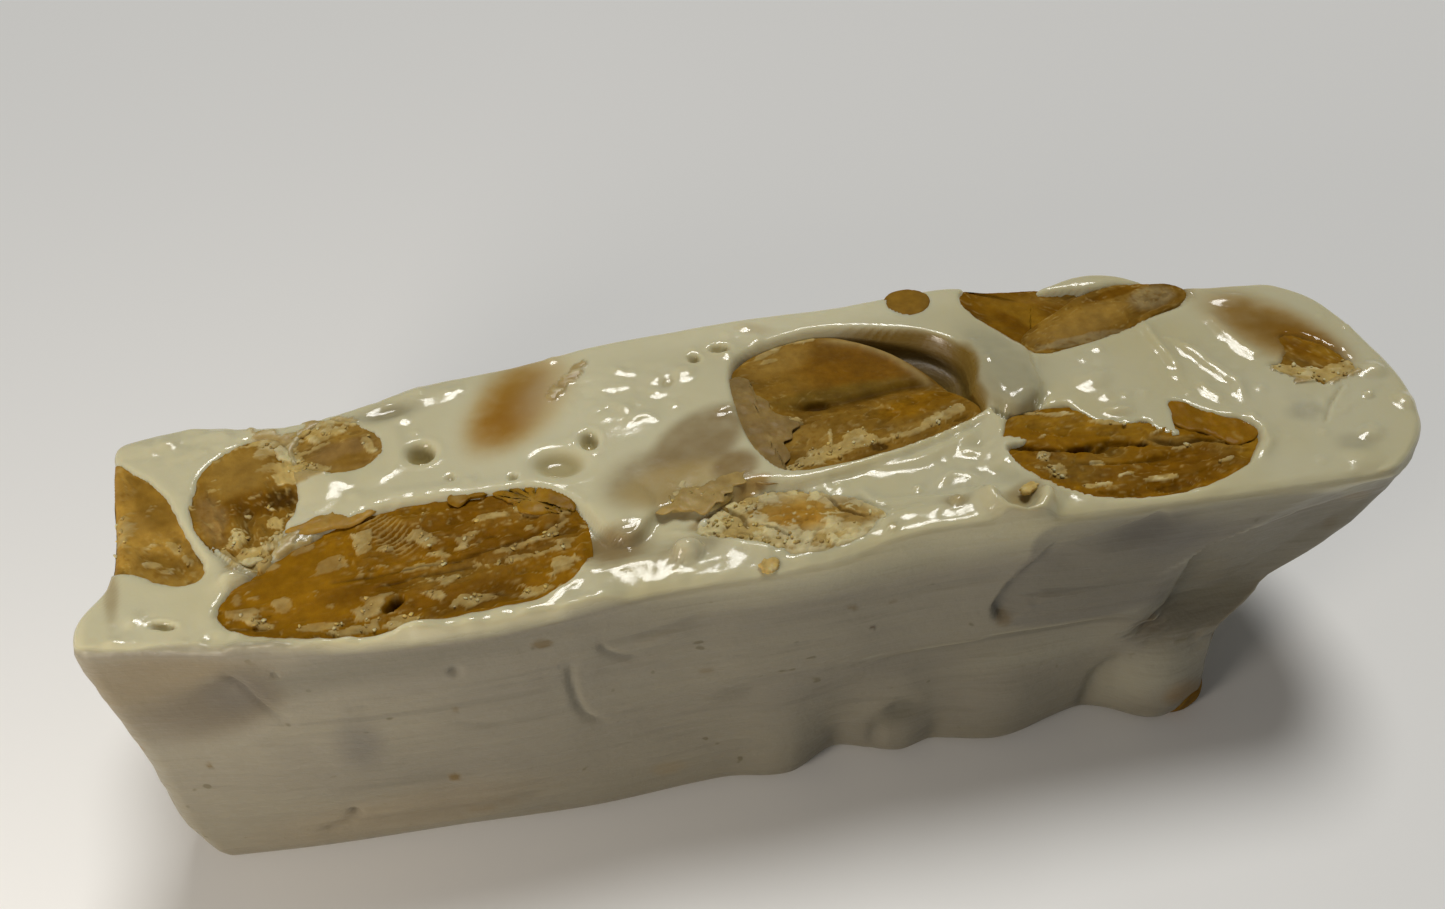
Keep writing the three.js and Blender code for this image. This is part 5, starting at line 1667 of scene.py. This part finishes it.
def almond_material(name, roughness, subsurface, grain_height, shine):
    """Mottled almond in the paint's colours. The roughness is given for gloss 0 and gloss 1."""
    made = bpy.data.materials.new(name)
    nodes = Nodes(made)
    tint = nodes.add("ShaderNodeAttribute", attribute_name="tint")
    gloss = nodes.add("ShaderNodeAttribute", attribute_name="gloss")
    mottle = nodes.ranged(nodes.noise(0.8, 4), 0.3, 0.7, 0.0, 0.5)
    darker = nodes.mixed(1.0, tint.outputs["Color"], (0.66, 0.58, 0.45), "MULTIPLY")
    lighter = nodes.mixed(1.0, tint.outputs["Color"], (1.4, 1.4, 1.25), "MULTIPLY")
    broad = nodes.ranged(nodes.noise(2.6, 3), 0.35, 0.65, 0.0, 1.0)
    body = nodes.mixed(broad, tint.outputs["Color"], lighter)
    nodes.wire(nodes.mixed(mottle, body, darker), nodes.shader.inputs["Base Color"])
    slick = nodes.ranged(gloss.outputs["Fac"], 0, 1, roughness[0], roughness[1])
    uneven = nodes.ranged(nodes.noise(0.5, 2), 0.3, 0.7, -0.06, 0.08)
    nodes.wire(nodes.sums(slick, uneven), nodes.shader.inputs["Roughness"])
    nodes.bump(nodes.noise(0.22, 4), grain_height)
    nodes.shader.inputs["Specular IOR Level"].default_value = shine
    nodes.shader.inputs["Subsurface Weight"].default_value = subsurface
    nodes.shader.inputs["Subsurface Radius"].default_value = (1.0, 0.5, 0.15)
    nodes.shader.inputs["Subsurface Scale"].default_value = 0.5 * METRES
    return made


def plain_material(name, colour, roughness):
    """One faintly mottled colour."""
    made = bpy.data.materials.new(name)
    nodes = Nodes(made)
    faint = nodes.ranged(nodes.noise(60, 2), 0.3, 0.7, 0, 0.15)
    paler = tuple(min(1, c * 1.04) for c in colour)
    nodes.wire(nodes.mixed(faint, colour, paler), nodes.shader.inputs["Base Color"])
    nodes.shader.inputs["Roughness"].default_value = roughness
    return made


# ---- The add-on ----

# The stage, in metres. The high lamp stands behind the bar, its turn counted from straight ahead of the eye.
FLOOR_HALF = 3
HIGH_LAMP = {"turn": 8, "rise": 66, "width": 22, "colour": (1.0, 0.99, 0.96)}
LOW_LAMP = {
    "at": (-0.108, -0.083, 0.058), "aim": (-0.02, 0, 0.015), "width": 0.05, "colour": (1.0, 0.9, 0.78),
}


class NougatSizes(bpy.types.PropertyGroup):
    """Sizes of the meshes and of their fine relief."""

    along: bpy.props.IntProperty(
        name="Cells along", description="Grid cells along the bar", default=412, min=20
    )
    across: bpy.props.IntProperty(
        name="Cells across", description="Grid cells across the bar", default=108, min=8
    )
    up: bpy.props.IntProperty(name="Cells up", description="Grid cells up the bar", default=32, min=6)
    swell: bpy.props.FloatProperty(
        name="Swell", description="Height of the nougat's soft swells, in millimetres", default=0.14, min=0
    )
    almond_step: bpy.props.FloatProperty(
        name="Almond cell", description="Width of an almond's grid cells, in millimetres",
        default=0.13, min=0.05
    )
    crumb: bpy.props.FloatProperty(
        name="Crumb", description="Usual width of a crumb, in millimetres", default=0.32, min=0.05
    )
    crumb_share: bpy.props.FloatProperty(
        name="Crumb share", description="Share of the crumbly places that carry a crumb", subtype="FACTOR",
        default=0.03, min=0, max=1
    )


class NougatColours(bpy.types.PropertyGroup):
    """Colours and finishes."""

    nougat: bpy.props.FloatVectorProperty(
        name="Nougat", description="Base colour of the nougat", subtype="COLOR", default=(0.61, 0.572, 0.380)
    )
    # The sides' colour is darker than the nougat's, partly for their duller skin and partly as painted shade.
    side: bpy.props.FloatVectorProperty(
        name="Side", description="Base colour of the dull smooth sides", subtype="COLOR",
        default=(0.275, 0.248, 0.180)
    )
    depth: bpy.props.FloatProperty(
        name="Depth", description="How much light wanders inside the nougat", subtype="FACTOR",
        default=0.55, min=0, max=1
    )
    side_roughness: bpy.props.FloatProperty(
        name="Side roughness", description="Roughness of the smooth sides", subtype="FACTOR",
        default=0.5, min=0, max=1
    )
    cut_roughness: bpy.props.FloatProperty(
        name="Cut roughness", description="Roughness of the sticky cut face", subtype="FACTOR",
        default=0.07, min=0, max=1
    )
    side_grain: bpy.props.FloatProperty(
        name="Side grain", description="Height of the sides' fine marks, in millimetres", default=0.14, min=0
    )
    floor: bpy.props.FloatVectorProperty(
        name="Floor", description="Colour of the floor", subtype="COLOR", default=(0.86, 0.86, 0.85)
    )
    key: bpy.props.FloatProperty(
        name="Key light", description="Strength of the high lamp", default=1.74, min=0
    )
    fill: bpy.props.FloatProperty(
        name="Fill light", description="Strength of the light all round", default=0.1, min=0
    )
    side_lamp: bpy.props.FloatProperty(
        name="Side light", description="Power of the low lamp at the left", unit="POWER", default=0.078, min=0
    )


class NOUGAT_OT_bar(bpy.types.Operator):
    """Models the nougat with its torn cut face, in place of the plain solid"""

    bl_idname = "nougat.bar"
    bl_label = "Nougat"

    def execute(self, context):
        scene = context.scene
        bm, tint, gloss = nougat_mesh(scene.nougat_sizes)
        bar = piece("nougat_bar", bm, nougat_material(scene.nougat_colours), tint, gloss)
        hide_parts("nougat")
        return {"FINISHED"}


class NOUGAT_OT_almonds(bpy.types.Operator):
    """Models each broken almond, in place of its plain solid"""

    bl_idname = "nougat.almonds"
    bl_label = "Almonds"

    def execute(self, context):
        made = almond_material("roasted_almond", (0.6, 0.35), 0.1, 0.02, 0.02)
        for name, spec in ALMONDS.items():
            bm, tint, gloss, crumbly = almond_mesh(name, spec, context.scene.nougat_sizes.almond_step)
            almond = piece("roast_" + name, bm, made, tint, gloss)
            almond.data.attributes.new("crumbly", "FLOAT", "POINT").data.foreach_set("value", crumbly)
            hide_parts(name)
        bm, tint, gloss = foot_almond_mesh()
        almond = piece("roast_almond_foot_right", bm, made, tint, gloss)
        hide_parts("almond_foot_right")
        return {"FINISHED"}


class NOUGAT_OT_bits(bpy.types.Operator):
    """Models the skins, scraps and crumbs that lie on the cut face"""

    bl_idname = "nougat.bits"
    bl_label = "Skins, scraps and crumbs"

    def execute(self, context):
        sizes = context.scene.nougat_sizes
        almonds = [o for o in bpy.data.objects if "crumbly" in getattr(o.data, "attributes", ())]
        if not almonds:
            raise RuntimeError("the almonds are modelled before the crumbs that lie on them")
        skin = almond_material("caramel_skin", (0.45, 0.25), 0.2, 0.01, 0.06)
        flesh = almond_material("almond_crumb", (0.85, 0.7), 0.2, 0.02, 0.05)
        flaps = [flap(*one, SKIN_ROUGH, 20 + k) for k, one in enumerate(SKINS)]
        chunks = []
        for k, (*place, lift, tone) in enumerate(CHUNKS):
            ring = scrap_outline(*place, 40 + k)
            chunks.append(flap(ring, lift, lift, 0, CHUNK_THICK, tone, SCRAP_ROUGH, 90 + 7 * k, 0.1))
        groups = (
            ("almond_skins", join(flaps), skin, SKIN_GLOSS),
            ("almond_scraps", join(chunks), flesh, SCRAP_GLOSS),
            ("almond_crumbs", crumbs(almonds, sizes.crumb, sizes.crumb_share), flesh, SCRAP_GLOSS),
        )
        for name, (bm, tint), made, shine in groups:
            piece(name, bm, made, tint, np.full(len(tint), shine))
        return {"FINISHED"}


class NOUGAT_OT_stage(bpy.types.Operator):
    """Sets up the floor, the lights and the camera"""

    bl_idname = "nougat.stage"
    bl_label = "Floor, light and camera"

    def execute(self, context):
        scene, colours = context.scene, context.scene.nougat_colours
        bm = bmesh.new()
        bmesh.ops.create_grid(bm, x_segments=2, y_segments=2, size=FLOOR_HALF)
        mesh = bpy.data.meshes.new("floor")
        bm.to_mesh(mesh)
        bm.free()
        mesh.materials.append(plain_material("pale_table", tuple(colours.floor), 0.7))
        floor = bpy.data.objects.new("floor", mesh)
        scene.collection.objects.link(floor)

        lamp = bpy.data.lights.new("high_lamp", "SUN")
        lamp.energy, lamp.color = colours.key, HIGH_LAMP["colour"]
        lamp.angle = math.radians(HIGH_LAMP["width"])
        key = bpy.data.objects.new("high_lamp", lamp)
        heading, rise = math.radians(-EYE_TURN + HIGH_LAMP["turn"]), math.radians(HIGH_LAMP["rise"])
        towards = Vector((
            math.sin(heading) * math.cos(rise), math.cos(heading) * math.cos(rise), math.sin(rise)
        ))
        key.rotation_euler = towards.to_track_quat("Z", "Y").to_euler()
        scene.collection.objects.link(key)

        low = bpy.data.lights.new("side_lamp", "AREA")
        low.shape, low.size = "DISK", LOW_LAMP["width"]
        low.energy, low.color = colours.side_lamp, LOW_LAMP["colour"]
        side = bpy.data.objects.new("side_lamp", low)
        side.location = Vector(LOW_LAMP["at"])
        side.rotation_euler = (side.location - Vector(LOW_LAMP["aim"])).to_track_quat("Z", "Y").to_euler()
        scene.collection.objects.link(side)

        world = bpy.data.worlds.new("soft_room")
        world.use_nodes = True
        background = world.node_tree.nodes["Background"]
        background.inputs["Color"].default_value = (1.0, 0.99, 0.98, 1)
        background.inputs["Strength"].default_value = colours.fill
        scene.world = world

        lens = bpy.data.cameras.new("camera")
        lens.lens, lens.sensor_width = LENS, SENSOR
        lens.clip_start, lens.clip_end = 0.005, 20
        camera = bpy.data.objects.new("camera", lens)
        camera.location = in_metres(EYE)
        camera.rotation_euler = (math.radians(90 - EYE_RISE), 0, math.radians(EYE_TURN))
        scene.collection.objects.link(camera)
        scene.camera = camera
        scene.view_settings.view_transform = "Standard"
        return {"FINISHED"}


class NOUGAT_PT_panel(bpy.types.Panel):
    """Lists the bar's sizes, colours and steps"""

    bl_idname = "NOUGAT_PT_panel"
    bl_label = "Nougat bar"
    bl_space_type = "VIEW_3D"
    bl_region_type = "UI"
    bl_category = "Nougat"

    def draw(self, context):
        """Draws a box for each group of values, and a button for each step."""
        for group in (context.scene.nougat_sizes, context.scene.nougat_colours):
            box = self.layout.box()
            for name in group.__annotations__:
                box.prop(group, name)
        for operator in OPERATORS:
            self.layout.operator(operator.bl_idname)


OPERATORS = (NOUGAT_OT_bar, NOUGAT_OT_almonds, NOUGAT_OT_bits, NOUGAT_OT_stage)
CLASSES = (NougatSizes, NougatColours, *OPERATORS, NOUGAT_PT_panel)


def register():
    """Adds the classes, and the sizes and colours to each scene."""
    for one in CLASSES:
        bpy.utils.register_class(one)
    bpy.types.Scene.nougat_sizes = bpy.props.PointerProperty(type=NougatSizes)
    bpy.types.Scene.nougat_colours = bpy.props.PointerProperty(type=NougatColours)


def unregister():
    """Takes away what register adds."""
    del bpy.types.Scene.nougat_sizes
    del bpy.types.Scene.nougat_colours
    for one in reversed(CLASSES):
        bpy.utils.unregister_class(one)


def main():
    """Builds the bar step by step."""
    register()
    bpy.ops.nougat.bar()
    bpy.ops.nougat.almonds()
    bpy.ops.nougat.bits()
    bpy.ops.nougat.stage()


if __name__ == "__main__":
    main()
